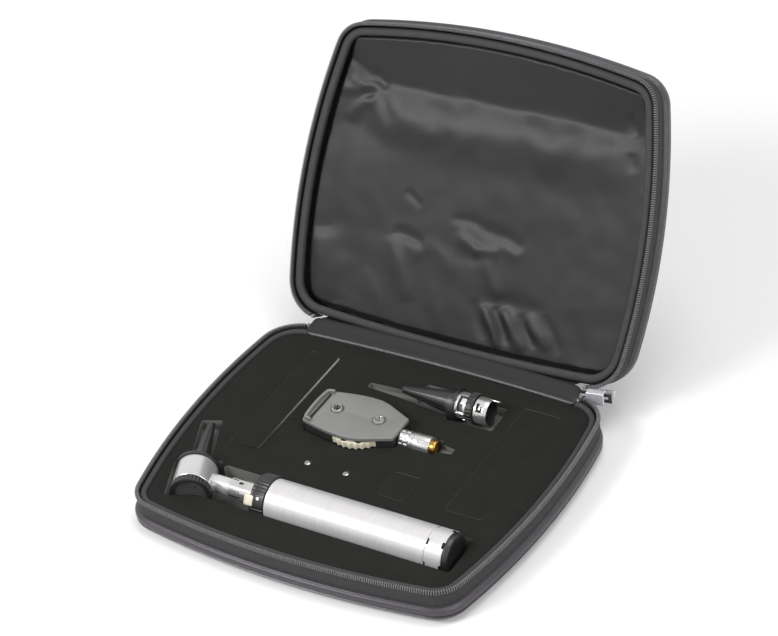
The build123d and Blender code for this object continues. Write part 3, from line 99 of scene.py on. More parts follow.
class Finish:
    """One material, built from its Principled shader outwards."""

    def __init__(self, name, **plain):
        self.material = bpy.data.materials.new(name)
        self.material.use_nodes = True
        self.tree = self.material.node_tree
        self.shader = self.tree.nodes["Principled BSDF"]
        for words, value in plain.items():
            self.feed(words.replace("_", " ").title().replace("Ior", "IOR"), value)

    def node(self, kind, values=(), output=0, **settings):
        """Add a node, its settings first, and return one of its outputs."""
        made = self.tree.nodes.new(kind)
        for setting, value in settings.items():
            setattr(made, setting, value)
        for key, value in values.items() if isinstance(values, dict) else enumerate(values):
            self.join(value, made.inputs[key])
        return Amount(self, made.outputs[output])

    def join(self, value, socket):
        """Link an amount to a socket, or set a plain number or colour on it."""
        if isinstance(value, Amount):
            self.tree.links.new(value.socket, socket)
        elif isinstance(value, (tuple, list)) and len(value) == 3 and len(socket.default_value) == 4:
            socket.default_value = (*value, 1.0)
        else:
            socket.default_value = value

    def feed(self, socket, value):
        self.join(value, self.shader.inputs[socket])

    def place(self, stretch=(1, 1, 1)):
        """Where the surface is, in metres, in the object's own space."""
        where = self.node("ShaderNodeTexCoord", output=3)
        return self.node("ShaderNodeMapping", {"Vector": where, "Scale": stretch})

    def along(self):
        """The piece's own map, in metres along and across it."""
        return self.node("ShaderNodeUVMap", uv_map="UVMap")

    def noise(self, where, scale, detail=2.0, rough=0.5):
        return self.node(
            "ShaderNodeTexNoise", {"Vector": where, "Scale": scale, "Detail": detail, "Roughness": rough}
        )

    def blend(self, share, first, second):
        """A colour between two, by share."""
        return self.node("ShaderNodeMix", {0: share, 6: first, 7: second}, output=2, data_type="RGBA")

    def colour(self, share, first, second):
        self.feed("Base Color", self.blend(share, first, second))

    def relief(self, height, depth, strength=1.0):
        """Bump the surface by a height that runs from 0 to 1 over a depth in metres."""
        bump = self.node("ShaderNodeBump", {"Height": height, "Distance": depth, "Strength": strength})
        self.feed("Normal", bump)

    def mottle(self, grain, first, second, gloss=None, bump=None, stretch=(1, 1, 1)):
        """Vary colour, roughness and relief with one noise of a given scale, detail and roughness."""
        spread = self.noise(self.place(stretch), *grain)
        self.colour(spread, first, second)
        if gloss:
            self.feed("Roughness", spread * gloss[0] + gloss[1])
        if bump:
            self.relief(spread, *bump)

    def cover(self, *pieces):
        for piece in pieces:
            piece.data.materials.clear()
            piece.data.materials.append(self.material)


TABLE_COLOUR, TABLE_ROUGHNESS = (0.90, 0.90, 0.90), 0.9
bpy.ops.mesh.primitive_plane_add(size=14.0, location=(0, 0, 0))
table = bpy.context.object
table.name = "table"
table_white = Finish("table_white", base_color=TABLE_COLOUR, roughness=TABLE_ROUGHNESS)
away = table_white.node("ShaderNodeVectorMath", (table_white.place(),), output=1, operation="LENGTH")
glow = table_white.blend(away.step(0.40, 1.30), (0.10, 0.10, 0.10), (0.80, 0.80, 0.80))
bright = table_white.node("ShaderNodeBsdfPrincipled", {
    "Base Color": TABLE_COLOUR, "Roughness": TABLE_ROUGHNESS,
    "Emission Color": glow, "Emission Strength": 1.0,
})
seen = table_white.node("ShaderNodeLightPath", output=0)
paper = Amount(table_white, table_white.shader.outputs[0])
mixed = table_white.node("ShaderNodeMixShader", {0: seen, 1: paper, 2: bright})
table_white.join(mixed, table_white.tree.nodes["Material Output"].inputs["Surface"])
table_white.cover(table)

SKY_STRENGTH, SEEN_STRENGTH = 0.36, 1.0
world = bpy.data.worlds.new("studio")
world.use_nodes = True
bpy.context.scene.world = world
sky = world.node_tree
sky_light, seen_sky = sky.nodes["Background"], sky.nodes.new("ShaderNodeBackground")
for backdrop, strength in ((sky_light, SKY_STRENGTH), (seen_sky, SEEN_STRENGTH)):
    backdrop.inputs["Color"].default_value = (1.0, 1.0, 1.0, 1.0)
    backdrop.inputs["Strength"].default_value = strength
ray_kind = sky.nodes.new("ShaderNodeLightPath")
mirrored, any_sight = sky.nodes.new("ShaderNodeMath"), sky.nodes.new("ShaderNodeMath")
mirrored.operation = any_sight.operation = "MAXIMUM"
choose_sky = sky.nodes.new("ShaderNodeMixShader")
for source, socket in (
    (ray_kind.outputs["Is Glossy Ray"], mirrored.inputs[0]),
    (ray_kind.outputs["Is Transmission Ray"], mirrored.inputs[1]),
    (ray_kind.outputs["Is Camera Ray"], any_sight.inputs[0]),
    (mirrored.outputs[0], any_sight.inputs[1]),
    (any_sight.outputs[0], choose_sky.inputs[0]),
    (sky_light.outputs[0], choose_sky.inputs[1]),
    (seen_sky.outputs[0], choose_sky.inputs[2]),
    (choose_sky.outputs[0], sky.nodes["World Output"].inputs["Surface"]),
):
    sky.links.new(source, socket)

for name, place, target, size, watts in (
    ("key_lamp", (-0.72, -1.0, 1.1), (0, 0.08, 0.08), (0.7, 0.5), 17.0),
    ("top_lamp", (0.3, 0.3, 1.7), (0, 0, 0.02), (1.0, 1.0), 12.0),
    ("side_lamp", (1.5, -0.5, 0.9), (0, 0, 0.05), (0.8, 0.8), 9.0),
):
    bpy.ops.object.light_add(type="AREA", location=place)
    lamp = bpy.context.object
    lamp.name = name
    lamp.data.shape = "RECTANGLE"
    lamp.data.size, lamp.data.size_y = size
    lamp.data.energy = watts
    aim = Vector(target) - Vector(place)
    lamp.rotation_euler = aim.to_track_quat("-Z", "Y").to_euler()

# ---- The two shells.
# Each half is a moulded tray covered in glossy leatherette, with two padded bands round its side
# and a sewn seam between them. The lid's is the same moulding turned over on the spine.
HINGE = Vector((0.0, 0.103, 0.025))
LID_ANGLE = math.radians(120.0)
RIM_HEIGHT = 0.025
OVER = (
    Matrix.Translation(HINGE)
    @ Matrix.Rotation(-LID_ANGLE, 4, "X")
    @ Matrix.Translation(-HINGE)
    @ Matrix.Translation((0, 0, RIM_HEIGHT))
    @ Matrix.Rotation(math.pi, 4, "Y")
    @ Matrix.Translation((0, 0, -RIM_HEIGHT))
)
SIDE_BOW, SIDE_SHIFT, FRONT_BOW, REAR_BOW = 445.0, 21.0, 606.0, 1600.0
SIDE_AT, FRONT_AT, REAR_AT = 124.0, 102.0, 102.0
FRONT_CORNER, REAR_CORNER, LEAST_CORNER = 18.0, 23.5, 3.0


def meet(first, first_radius, second, second_radius):
    """Where two circles cross, the crossing with the greater x."""
    gap = second - first
    length = gap.length
    along = (first_radius**2 - second_radius**2 + length**2) / (2 * length)
    aside = math.sqrt(first_radius**2 - along**2)
    step = gap / length
    points = [first + step * along + Vector((-step.y, step.x)) * side * aside for side in (1, -1)]
    return max(points, key=lambda point: point.x)


def rim(grow, rear=None):
    """The case's outline in mm, from the middle of the back round by the left, as x, y points."""
    rear = grow if rear is None else rear
    side_mid = Vector((SIDE_AT - SIDE_BOW, SIDE_SHIFT))
    front_mid = Vector((0.0, FRONT_BOW - FRONT_AT))
    rear_mid = Vector((0.0, REAR_AT - REAR_BOW))
    front_round = max(FRONT_CORNER + grow, LEAST_CORNER)
    rear_round = max(REAR_CORNER + grow, LEAST_CORNER)
    side_reach, front_reach, rear_reach = SIDE_BOW + grow, FRONT_BOW + grow, REAR_BOW + rear
    front_corner = meet(side_mid, side_reach - front_round, front_mid, front_reach - front_round)
    rear_corner = meet(side_mid, side_reach - rear_round, rear_mid, rear_reach - rear_round)

    def bearing(centre, point):
        return math.atan2(point.y - centre.y, point.x - centre.x)

    def arc(centre, size, start, end, count):
        turns = [start + (end - start) * step / count for step in range(count)]
        return [(centre.x + size * math.cos(turn), centre.y + size * math.sin(turn)) for turn in turns]

    front_turn, rear_turn = bearing(front_mid, front_corner), bearing(rear_mid, rear_corner)
    side_turn_front, side_turn_rear = bearing(side_mid, front_corner), bearing(side_mid, rear_corner)
    right = (
        arc(front_mid, front_reach, -math.pi / 2, front_turn, 22)
        + arc(front_corner, front_round, front_turn, side_turn_front, 18)
        + arc(side_mid, side_reach, side_turn_front, side_turn_rear, 34)
        + arc(rear_corner, rear_round, side_turn_rear, rear_turn, 18)
        + arc(rear_mid, rear_reach, rear_turn, math.pi / 2, 16)
    )
    left = [(-x, y) for x, y in reversed(right[1:])]
    return [(0.0, REAR_AT + rear)] + left + right


def put(name, data):
    """Add a mesh to the scene as a piece."""
    piece = bpy.data.objects.new(name, data)
    bpy.context.collection.objects.link(piece)
    return piece


def put_mesh(name, mesh):
    """Add what mesh code has made to the scene as a piece."""
    data = bpy.data.meshes.new(name)
    mesh.to_mesh(data)
    mesh.free()
    return put(name, data)


def loft(name, rings, loop=False, floor=False, columns=None):
    """Skin a run of rings, each (grow, rear, height) in mm, with a map in metres along and across."""
    closed = columns is None
    outlines = [rim(grow, rear) for grow, rear, _ in rings]
    columns = list(range(len(outlines[0]))) if closed else columns
    outlines = [[line[number] for number in columns] for line in outlines]
    mesh = bmesh.new()
    chart = mesh.loops.layers.uv.new("UVMap")
    rows = [
        [mesh.verts.new((x / 1000, y / 1000, ring[2] / 1000)) for x, y in line]
        for line, ring in zip(outlines, rings)
    ]
    across = [0.0]
    for low, high in zip(rings, rings[1:] + rings[:1]):
        across.append(across[-1] + math.hypot(high[0] - low[0], high[2] - low[2]) / 1000)
    along = [0.0]
    for here, there in zip(outlines[0], outlines[0][1:] + outlines[0][:1]):
        along.append(along[-1] + math.dist(here, there) / 1000)
    for low in range(len(rows) if loop else len(rows) - 1):
        high = (low + 1) % len(rows)
        for left in range(len(columns) if closed else len(columns) - 1):
            right = (left + 1) % len(columns)
            face = mesh.faces.new((rows[low][left], rows[low][right], rows[high][right], rows[high][left]))
            spots = ((left, low), (left + 1, low), (left + 1, low + 1), (left, low + 1))
            for corner, (along_at, across_at) in zip(face.loops, spots):
                corner[chart].uv = (along[along_at], across[across_at])
    if floor:
        mesh.faces.new(list(reversed(rows[0])))
    if loop and not closed:
        mesh.faces.new([row[0] for row in rows])
        mesh.faces.new([row[-1] for row in rows])
    bmesh.ops.recalc_face_normals(mesh, faces=mesh.faces)
    piece = put_mesh(name, mesh)
    piece.data.shade_smooth()
    return piece


def pick(piece):
    bpy.ops.object.select_all(action="DESELECT")
    piece.select_set(True)
    bpy.context.view_layer.objects.active = piece


def soften(piece, degrees=35):
    pick(piece)
    bpy.ops.object.shade_smooth_by_angle(angle=math.radians(degrees))


def fit(piece, kind, **settings):
    """Add a modifier and apply it."""
    pick(piece)
    added = piece.modifiers.new(kind.title(), kind)
    for setting, value in settings.items():
        setattr(added, setting, value)
    bpy.ops.object.modifier_apply(modifier=added.name)


def dress(piece, node, finish, body):
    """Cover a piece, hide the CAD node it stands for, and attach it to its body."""
    finish.cover(piece)
    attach(piece, body)
    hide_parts(node)
    return piece


def pair(base, kind, node, finish):
    """Dress a piece made on the base, with a copy of it turned over for the lid."""
    lid = put(f"lid_{kind}", base.data.copy())
    lid.data.transform(OVER)
    dress(base, f"base_{node}", finish, "base")
    dress(lid, f"lid_{node}", finish, "lid")


BACK_STEP, FOOT_GROW, FOOT_ROUND = 3.4, -5.0, 9.0


def wall(grow, height):
    """A ring on the side of the moulding, which stands out less at the back."""
    return (grow, grow - BACK_STEP, height)


shell_rings = [wall(FOOT_GROW, 0.0), wall(-3.4, 0.15)]
for degrees in range(20, 76, 8):
    turn = math.radians(degrees)
    grow, height = FOOT_GROW + FOOT_ROUND * math.sin(turn), FOOT_ROUND - FOOT_ROUND * math.cos(turn)
    shell_rings.append(wall(grow, height))
for grow, height in (
    (3.75, 6.0), (3.3, 6.35), (2.9, 6.6), (2.9, 6.9), (3.3, 7.15), (3.8, 7.5), (4.0, 8.4), (4.05, 9.3),
    (4.0, 10.2), (3.8, 11.0), (3.3, 11.5),
):
    shell_rings.append(wall(grow, height))
shell_rings += [
    (2.2, 0.5, 11.8), (1.9, 0.5, 12.1), (1.9, 0.5, 12.6), (2.2, 0.5, 12.9), (2.2, 0.5, 13.3),
    (1.6, 0.2, 13.5), (0.6, -1.5, 13.5),
]
base_cover = loft("base_cover", shell_rings, floor=True)
soften(base_cover, 50)
leatherette = Finish("leatherette", roughness=0.34, coat_weight=0.1, coat_roughness=0.25)
on_cover = leatherette.place()
pebble = leatherette.node("ShaderNodeTexVoronoi", {"Vector": on_cover, "Scale": 1100.0}, feature="SMOOTH_F1")
creases = leatherette.noise(on_cover, 260.0, 4.0, 0.6)
leatherette.colour(creases, (0.030, 0.026, 0.032), (0.062, 0.055, 0.066))
leatherette.feed("Roughness", creases * 0.16 + 0.26)
leatherette.relief(pebble * 0.7 + creases * 0.3, 0.00022, 0.55)
pair(base_cover, "cover", "shell", leatherette)

# ---- The spine.
# Leatherette folds along the back and holds the halves together. Each shell has a stiff leaf, and
# a padded band of the same stuff covers the fold inside.
LEAF_HALF, LEAF_FROM = 95.2, 92
outer_line = rim(0)
total = len(outer_line)
back = [
    number % total
    for number in range(-60, 60)
    if outer_line[number % total][1] > LEAF_FROM and abs(outer_line[number % total][0]) < LEAF_HALF
]
leaf_rings = [
    (0, -0.4, 12.8), (0, 0.6, 12.8), (0, 0.62, 18.0), (0, 0.6, 24.2), (0, 0.35, 24.7), (0, -0.4, 24.7),
]
base_leaf = loft("base_leaf", leaf_rings, loop=True, columns=back)
soften(base_leaf)
spine_cover = Finish("spine_cover", roughness=0.5, specular_ior_level=0.35)
on_spine = spine_cover.place()
grain = spine_cover.node("ShaderNodeTexVoronoi", {"Vector": on_spine, "Scale": 1300.0}, feature="SMOOTH_F1")
worn = spine_cover.noise(on_spine, 90.0, 4.0, 0.6)
from_fold = spine_cover.node("ShaderNodeSeparateXYZ", {"Vector": on_spine}, output=1)
spine_cover.colour(worn, (0.006, 0.006, 0.0065), (0.016, 0.0155, 0.017))
spine_cover.feed("Roughness", from_fold.step(0.0968, 0.0985) * 0.38 + worn * 0.12 + 0.26)
spine_cover.relief(grain * 0.8 + worn * 0.2, 0.00018, 0.5)
pair(base_leaf, "leaf", "spine", spine_cover)


def solid(name, points, faces):
    """A piece from its points, in metres, and its faces, turned outwards."""
    data = bpy.data.meshes.new(name)
    data.from_pydata(points, [], faces)
    mesh = bmesh.new()
    mesh.from_mesh(data)
    bmesh.ops.recalc_face_normals(mesh, faces=mesh.faces)
    mesh.to_mesh(data)
    mesh.free()
    return put(name, data)


BAND_SECTION = (
    (95.2, 19.6), (95.5, 21.4), (96.6, 22.9), (98.4, 23.7), (100.4, 24.6), (102.2, 25.8), (103.7, 27.2),
    (105.0, 28.3), (106.6, 28.6), (107.9, 28.1), (107.4, 26.6), (105.6, 26.4), (103.9, 25.4), (101.6, 23.9),
    (98.9, 22.0), (97.2, 20.4), (96.4, 19.0),
)
BAND_HALF, BAND_STEPS, BAND_MIDDLE = 99.0, 64, 24.0
BAND_TIP, BAND_TAPER = 99.6, 5.0
band_points, band_faces = [], []
around = len(BAND_SECTION)
for step in range(BAND_STEPS + 1):
    station = -BAND_HALF + 2 * BAND_HALF * step / BAND_STEPS
    bow = REAR_BOW - math.sqrt(REAR_BOW**2 - station**2)
    narrow = min(1.0, (BAND_TIP - abs(station)) / BAND_TAPER) ** 0.5
    for y, z in BAND_SECTION:
        height = BAND_MIDDLE + (z - BAND_MIDDLE) * narrow
        band_points.append((station / 1000, (y - bow * 0.9) / 1000, height / 1000))
for near in range(0, BAND_STEPS * around, around):
    far = near + around
    for corner in range(around):
        after = (corner + 1) % around
        band_faces.append((near + corner, near + after, far + after, far + corner))
band_faces.append(tuple(range(around)))
band_faces.append(tuple(range(BAND_STEPS * around, (BAND_STEPS + 1) * around)))
spine_band = solid("spine_band", band_points, band_faces)
fit(spine_band, "SUBSURF", levels=1, render_levels=1)
soften(spine_band, 60)
spine_cover.cover(spine_band)
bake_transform(spine_band)

# ---- The zipper.
# Woven tape stands on each rim with a moulded coil sewn over its edge, one loop for each tooth,
# and a moulded stop at each end.
OPEN_HALF, OPEN_FROM = 95.8, 88
rim_columns = [
    number for number in range(total)
    if not (outer_line[number][1] > OPEN_FROM and abs(outer_line[number][0]) < OPEN_HALF)
]
tape_rings = [
    (1.4, 1.4, 12.9), (1.55, 1.5, 16.0), (1.5, 1.5, 19.0), (1.4, 1.4, 20.8), (1.3, 1.3, 24.0),
    (0.5, 0.5, 24.0), (0.6, 0.6, 20.6), (0.6, 0.6, 13.4),
]
base_tape = loft("base_tape", tape_rings, loop=True, columns=rim_columns)
soften(base_tape, 50)
weave = Finish("zip_tape", roughness=0.85)
thread = weave.along()
ribs = weave.node(
    "ShaderNodeTexWave", {"Vector": thread, "Scale": 330.0, "Distortion": 0.6, "Detail": 1.0},
    output=1, bands_direction="X",
)
rows_of_thread = weave.node(
    "ShaderNodeTexWave", {"Vector": thread, "Scale": 250.0, "Distortion": 0.4}, output=1, bands_direction="Y"
)
dust = weave.noise(weave.place(), 420.0, 3.0)
weave.colour(ribs * 0.35 + dust * 0.65, (0.012, 0.012, 0.0125), (0.050, 0.049, 0.050))
weave.relief(ribs * 0.5 + rows_of_thread * 0.5, 0.00025, 0.6)
pair(base_tape, "tape", "zipper_tape", weave)

HOOP_LINE = (
    (1.6, 22.2), (1.85, 22.7), (1.85, 23.7), (1.45, 24.35), (0.9, 24.5), (0.35, 24.35), (-0.05, 23.7),
    (-0.05, 22.4),
)
WIRE_SIDES, WIRE_ACROSS, WIRE_ALONG = 6, 0.40, 0.38
TOOTH_PITCH = 1.42


def tube_faces(rings, sides, capped=True):
    """The faces of a tube of point rings, with its ends closed."""
    faces = [
        (ring + side, ring + (side + 1) % sides, ring + sides + (side + 1) % sides, ring + sides + side)
        for ring in range(0, (rings - 1) * sides, sides)
        for side in range(sides)
    ]
    ends = [tuple(range(sides)), tuple(range((rings - 1) * sides, rings * sides))]
    return faces + ends if capped else faces


hoop_points = []
for number, (out, up) in enumerate(HOOP_LINE):
    before, after = HOOP_LINE[max(number - 1, 0)], HOOP_LINE[min(number + 1, len(HOOP_LINE) - 1)]
    run = Vector((after[0] - before[0], after[1] - before[1])).normalized()
    aside = Vector((run.y, -run.x))
    for side in range(WIRE_SIDES):
        turn = math.tau * side / WIRE_SIDES
        shift = aside * WIRE_ACROSS * math.cos(turn)
        hoop_points.append(Vector((WIRE_ALONG * math.sin(turn), out + shift.x, up + shift.y)))


def stations(pitch, line):
    """Evenly spaced places on a run of points: where, and which way it runs."""
    found, carried = [], 0.0
    for here, there in zip(line, line[1:]):
        run = Vector(there) - Vector(here)
        length = run.length
        while carried <= length:
            found.append((Vector(here) + run * (carried / length), run.normalized()))
            carried += pitch
        carried -= length
    return found


def string(name, places, points, faces):
    """Copies of one small shape along a run, as one piece. Its points are along, out and up, in mm."""
    corners, polygons = [], []
    for spot, run in places:
        out = Vector((run.y, -run.x))
        if out.dot(spot) < 0:
            out = -out
        start = len(corners)
        for along, outward, up in points:
            flat = spot + run * along + out * outward
            corners.append((flat.x / 1000, flat.y / 1000, up / 1000))
        polygons += [tuple(start + corner for corner in face) for face in faces]
    piece = solid(name, corners, polygons)
    piece.data.shade_smooth()
    return piece


gap_at = next((at for at in range(1, len(rim_columns)) if rim_columns[at] != rim_columns[at - 1] + 1), 0)
rim_line = [outer_line[number] for number in rim_columns[gap_at:] + rim_columns[:gap_at]]
tooth_places = stations(TOOTH_PITCH, rim_line)
stop_places = [tooth_places[1], tooth_places[-2]]
tooth_places = tooth_places[3:-3]
stop_points = [
    Vector((along, out, up)) for along in (-1.1, 1.1) for out in (-0.25, 2.05) for up in (21.4, 24.7)
]
stop_faces = [(0, 1, 3, 2), (4, 6, 7, 5), (0, 4, 5, 1), (2, 3, 7, 6), (0, 2, 6, 4), (1, 5, 7, 3)]
base_stops = string("base_stops", stop_places, stop_points, stop_faces)
fit(base_stops, "BEVEL", width=0.0004, segments=3, limit_method="NONE")
soften(base_stops, 40)
nylon = Finish("zip_teeth", roughness=0.32)
nylon.mottle((700.0,), (0.08, 0.08, 0.082), (0.27, 0.265, 0.27), gloss=(0.2, 0.25))
pair(base_stops, "stops", "end_stops", nylon)
base_coil = string("base_coil", tooth_places, hoop_points, tube_faces(len(HOOP_LINE), WIRE_SIDES))
pair(base_coil, "coil", "zipper_teeth", nylon)

# ---- The binding rolls.
# Inside each rim a padded roll of black cloth is sewn down with one row of stitches: slim in the
# base, wide in the lid, where it frames the lining.
REAR_GAP, ROLL_SQUARENESS = 0.3, 0.75
STITCH_PITCH, STITCH_SIDES = 2.9, 5


def roll_rings(inner, outer, low, high, count=14):
    """A rounded section between two offsets and two heights."""
    middle, half = (inner + outer) / 2, (outer - inner) / 2
    centre, rise = (low + high) / 2, (high - low) / 2
    rings = []
    for step in range(count):
        turn = math.tau * step / count
        parts = (math.cos(turn), math.sin(turn))
        across, up = (math.copysign(abs(part) ** ROLL_SQUARENESS, part) for part in parts)
        grow = middle + half * across
        rings.append((grow, grow - REAR_GAP, centre + rise * up))
    return rings


base_roll = loft("base_roll", roll_rings(-5.0, -1.0, 18.9, 22.5), loop=True, columns=rim_columns)
lid_roll = loft("lid_roll", roll_rings(-6.7, -1.3, 17.8, 22.6, 20), loop=True)
soften(base_roll, 70)
soften(lid_roll, 70)
stitch_rings = ((-1.0, 0.05), (-0.75, 0.17), (0.75, 0.17), (1.0, 0.05))
stitch_points = [
    Vector((along, out * size, up * size))
    for along, size in stitch_rings
    for out, up in ((1, 0), (0.3, 1), (-0.7, 0.7), (-1, 0), (-0.3, -0.6))
]
stitch_faces = tube_faces(len(stitch_rings), STITCH_SIDES, capped=False)


def stitches(name, grow, rear, height, columns):
    line = rim(grow, rear)
    places = stations(STITCH_PITCH, [line[number] for number in columns])
    return string(name, places, [point + Vector((0, 0, height)) for point in stitch_points], stitch_faces)


base_stitches = stitches("base_stitches", -3.6, -3.6, 22.42, rim_columns)
lid_stitches = stitches("lid_stitches", -5.2, -5.5, 22.2, list(range(total)) + [0])
cloth = Finish("binding", roughness=0.7, specular_ior_level=0.4)
twill = cloth.node(
    "ShaderNodeTexWave", {"Vector": cloth.along(), "Scale": 420.0, "Distortion": 0.8, "Detail": 1.0},
    output=1, bands_direction="DIAGONAL",
)
pull = cloth.noise(cloth.place(), 160.0, 4.0, 0.6)
cloth.colour(pull * 0.6 + twill * 0.4, (0.016, 0.016, 0.0165), (0.060, 0.059, 0.060))
cloth.relief(twill * 0.5 + pull * 0.5, 0.00030, 0.7)
sewing = Finish("sewing_thread", roughness=0.7)
sewing.mottle((900.0, 1.0), (0.03, 0.03, 0.031), (0.09, 0.088, 0.09))
sewing.cover(base_stitches, lid_stitches)
for roll, row, body in ((base_roll, base_stitches, "base"), (lid_roll, lid_stitches, "lid")):
    if body == "lid":
        roll.data.transform(OVER)
        row.data.transform(OVER)
    dress(roll, f"{body}_binding", cloth, body)
    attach(row, body)

# ---- The foam insert and its plugs.
# Black flocked foam fills the base. Pockets are cut through the flock, so their walls show raw grey
# foam. Three plugs lift out over storage pits; the left one sits proud on its right, a cut edge
# whose raised face is painted pale as a painted highlight, fading to dark towards the front.
PLUG_LOW, PLUG_TILT = 0.015, 0.0013


def soft_copy(name, node, finish, body, width, segments=2, degrees=40):
    """A welded copy of a CAD solid with its edges rounded over, dressed."""
    piece = put(name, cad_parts[node].data.copy())
    pick(piece)
    bpy.ops.object.mode_set(mode="EDIT")
    bpy.ops.mesh.select_all(action="SELECT")
    bpy.ops.mesh.remove_doubles(threshold=1e-6)
    bpy.ops.mesh.dissolve_limited(angle_limit=math.radians(0.5))
    bpy.ops.object.mode_set(mode="OBJECT")
    limit = math.radians(degrees)
    fit(piece, "BEVEL", width=width, segments=segments, limit_method="ANGLE", angle_limit=limit)
    soften(piece, 40)
    return dress(piece, node, finish, body)


flock = Finish("flocked_foam", roughness=0.95, specular_ior_level=0.15)
on_foam = flock.place()
pile = flock.noise(on_foam, 2600.0, 2.0, 0.6)
nap = flock.noise(on_foam, 60.0, 3.0, 0.6)
top_face = flock.node("ShaderNodeSeparateXYZ", {"Vector": on_foam}, output=2).step(0.0204, 0.0209)
flocked = flock.blend(pile * 0.75 + nap * 0.25, (0.004, 0.0045, 0.004), (0.030, 0.031, 0.028))
raw = flock.blend(pile, (0.10, 0.099, 0.094), (0.23, 0.228, 0.218))
flock.colour(top_face, raw, flocked)
flock.relief(pile, 0.0005, 0.8)
# A pale finish for the left plug's raised cut face: a painted highlight, fading to dark towards the front.
painted_highlight_foam = Finish("painted_highlight_foam", roughness=0.8)
on_edge = painted_highlight_foam.place()
cells = painted_highlight_foam.noise(on_edge, 1800.0)
painted_highlight_share = painted_highlight_foam.node("ShaderNodeSeparateXYZ", {"Vector": on_edge}, output=1).step(-0.010, 0.045)
painted_highlight_foam.colour(cells * painted_highlight_share, (0.05, 0.05, 0.048), (0.80, 0.79, 0.76))
insert = soft_copy("insert", "foam_insert", flock, "base", 0.0005, degrees=50)
plugs = {}
for side in ("left", "right", "centre"):
    name, node = f"{side}_plug", f"{side}_storage_plug"
    plugs[side] = soft_copy(name, node, flock, name, 0.00055, degrees=60)
left_plug = plugs["left"].data
plug_left = min(corner.co.x for corner in left_plug.vertices)
plug_right = max(corner.co.x for corner in left_plug.vertices)
for corner in left_plug.vertices:
    if corner.co.z > PLUG_LOW:
        corner.co.z += PLUG_TILT * (corner.co.x - plug_left) / (plug_right - plug_left)
# The left plug's raised right face takes the painted highlight.
left_plug.materials.append(painted_highlight_foam.material)
for face in left_plug.polygons:
    if face.normal.x > 0.5 and face.center.z > PLUG_LOW:
        face.material_index = 1

# ---- The lid's lining.
# Loose dark satin is drawn over the lid's padding and tucked under the binding. It puckers at
# three sewn tufts, folds across near the top and gathers in upright pleats near the spine.
PAD_LEVEL, ROLL_LEVEL = 12.9, 22.4
SATIN_GROW, SATIN_STEP, SATIN_WIDTH, SATIN_DEPTH = -4.4, 1.1, 242, 194
# Each stroke is (x, y, x, y, width, height): a soft ridge, or a valley where the height is below 0.
STROKES = (
    (-92, -59.5, -34, -59.4, 7.0, -1.0), (-40, -59.4, 40, -59.8, 7.5, -1.1),
    (30, -59.8, 108, -58.5, 7.5, -1.0), (-74, -38, -20, -39, 15.0, 2.3),
    (-20, -39, 50, -40, 17.0, 2.5), (40, -40, 92, -40, 17.0, 2.3),
    (-111, -73, -85, -65, 3.6, -0.9), (-100, -58, -84, -56, 4.0, 1.0), (-94, -51, -84, -53, 3.6, -0.9),
    (-108, -50, -92, -54, 3.6, 0.8), (-86, -65, -80, -57, 3.6, -1.0), (-84, -54, -88, -44, 4.2, 0.8),
    (-92, -46, -100, -34, 5.0, 0.9), (-80, -50, -72, -38, 4.4, -0.7), (96, -69, 100, -61, 4.0, -1.2),
    (101, -45, 103, -39, 3.6, -0.6), (-50, 8, -42, 13, 2.8, -0.7), (-54, 33, -38, 36, 4.0, -1.0),
    (-56, 42, -42, 70, 7.0, 1.3), (-44, 40, -36, 45, 4.4, 0.5), (-30, 38, -10, 48, 6.0, 0.5),
    (-14, 17, 0, 16, 4.0, -0.7), (2, 16, 34, 24.5, 5.0, -1.2), (-9, 28, 6, 33.5, 3.8, 1.2),
    (5, 34, 17, 31.5, 3.8, 0.8), (22, 26, 34, 31, 4.2, 0.6), (-6, 38, 12, 40, 4.4, -0.5),
    (13, 40, 23, 57, 5.5, 0.9), (12, 62, 56, 62.5, 5.5, -1.0), (17, 69, 29, 90, 3.2, 1.7),
    (24, 68, 36, 86, 3.0, -1.2), (31, 69, 46, 88, 4.2, 1.5), (43, 68, 55, 85, 2.6, -1.0),
    (49, 68, 63, 83, 3.4, 0.9), (61, 66, 73, 84, 3.2, -0.7), (8, 68, 18, 86, 3.6, -0.7),
    (-106, 50, -98, 78, 10.0, 2.0), (-70, 66, -60, 86, 5.0, 0.5), (-22, 64, -14, 88, 5.0, 0.5),
    (80, 62, 88, 86, 6.0, -0.5), (-108, -30, -60, -20, 9.0, -0.7), (-60, -36, -10, -30, 8.0, 0.4),
    (10, -8, 80, 0, 14.0, 0.6),
)


def share(value):
    return max(0.0, min(1.0, value))


def smooth(value):
    return value * value * (3 - 2 * value)


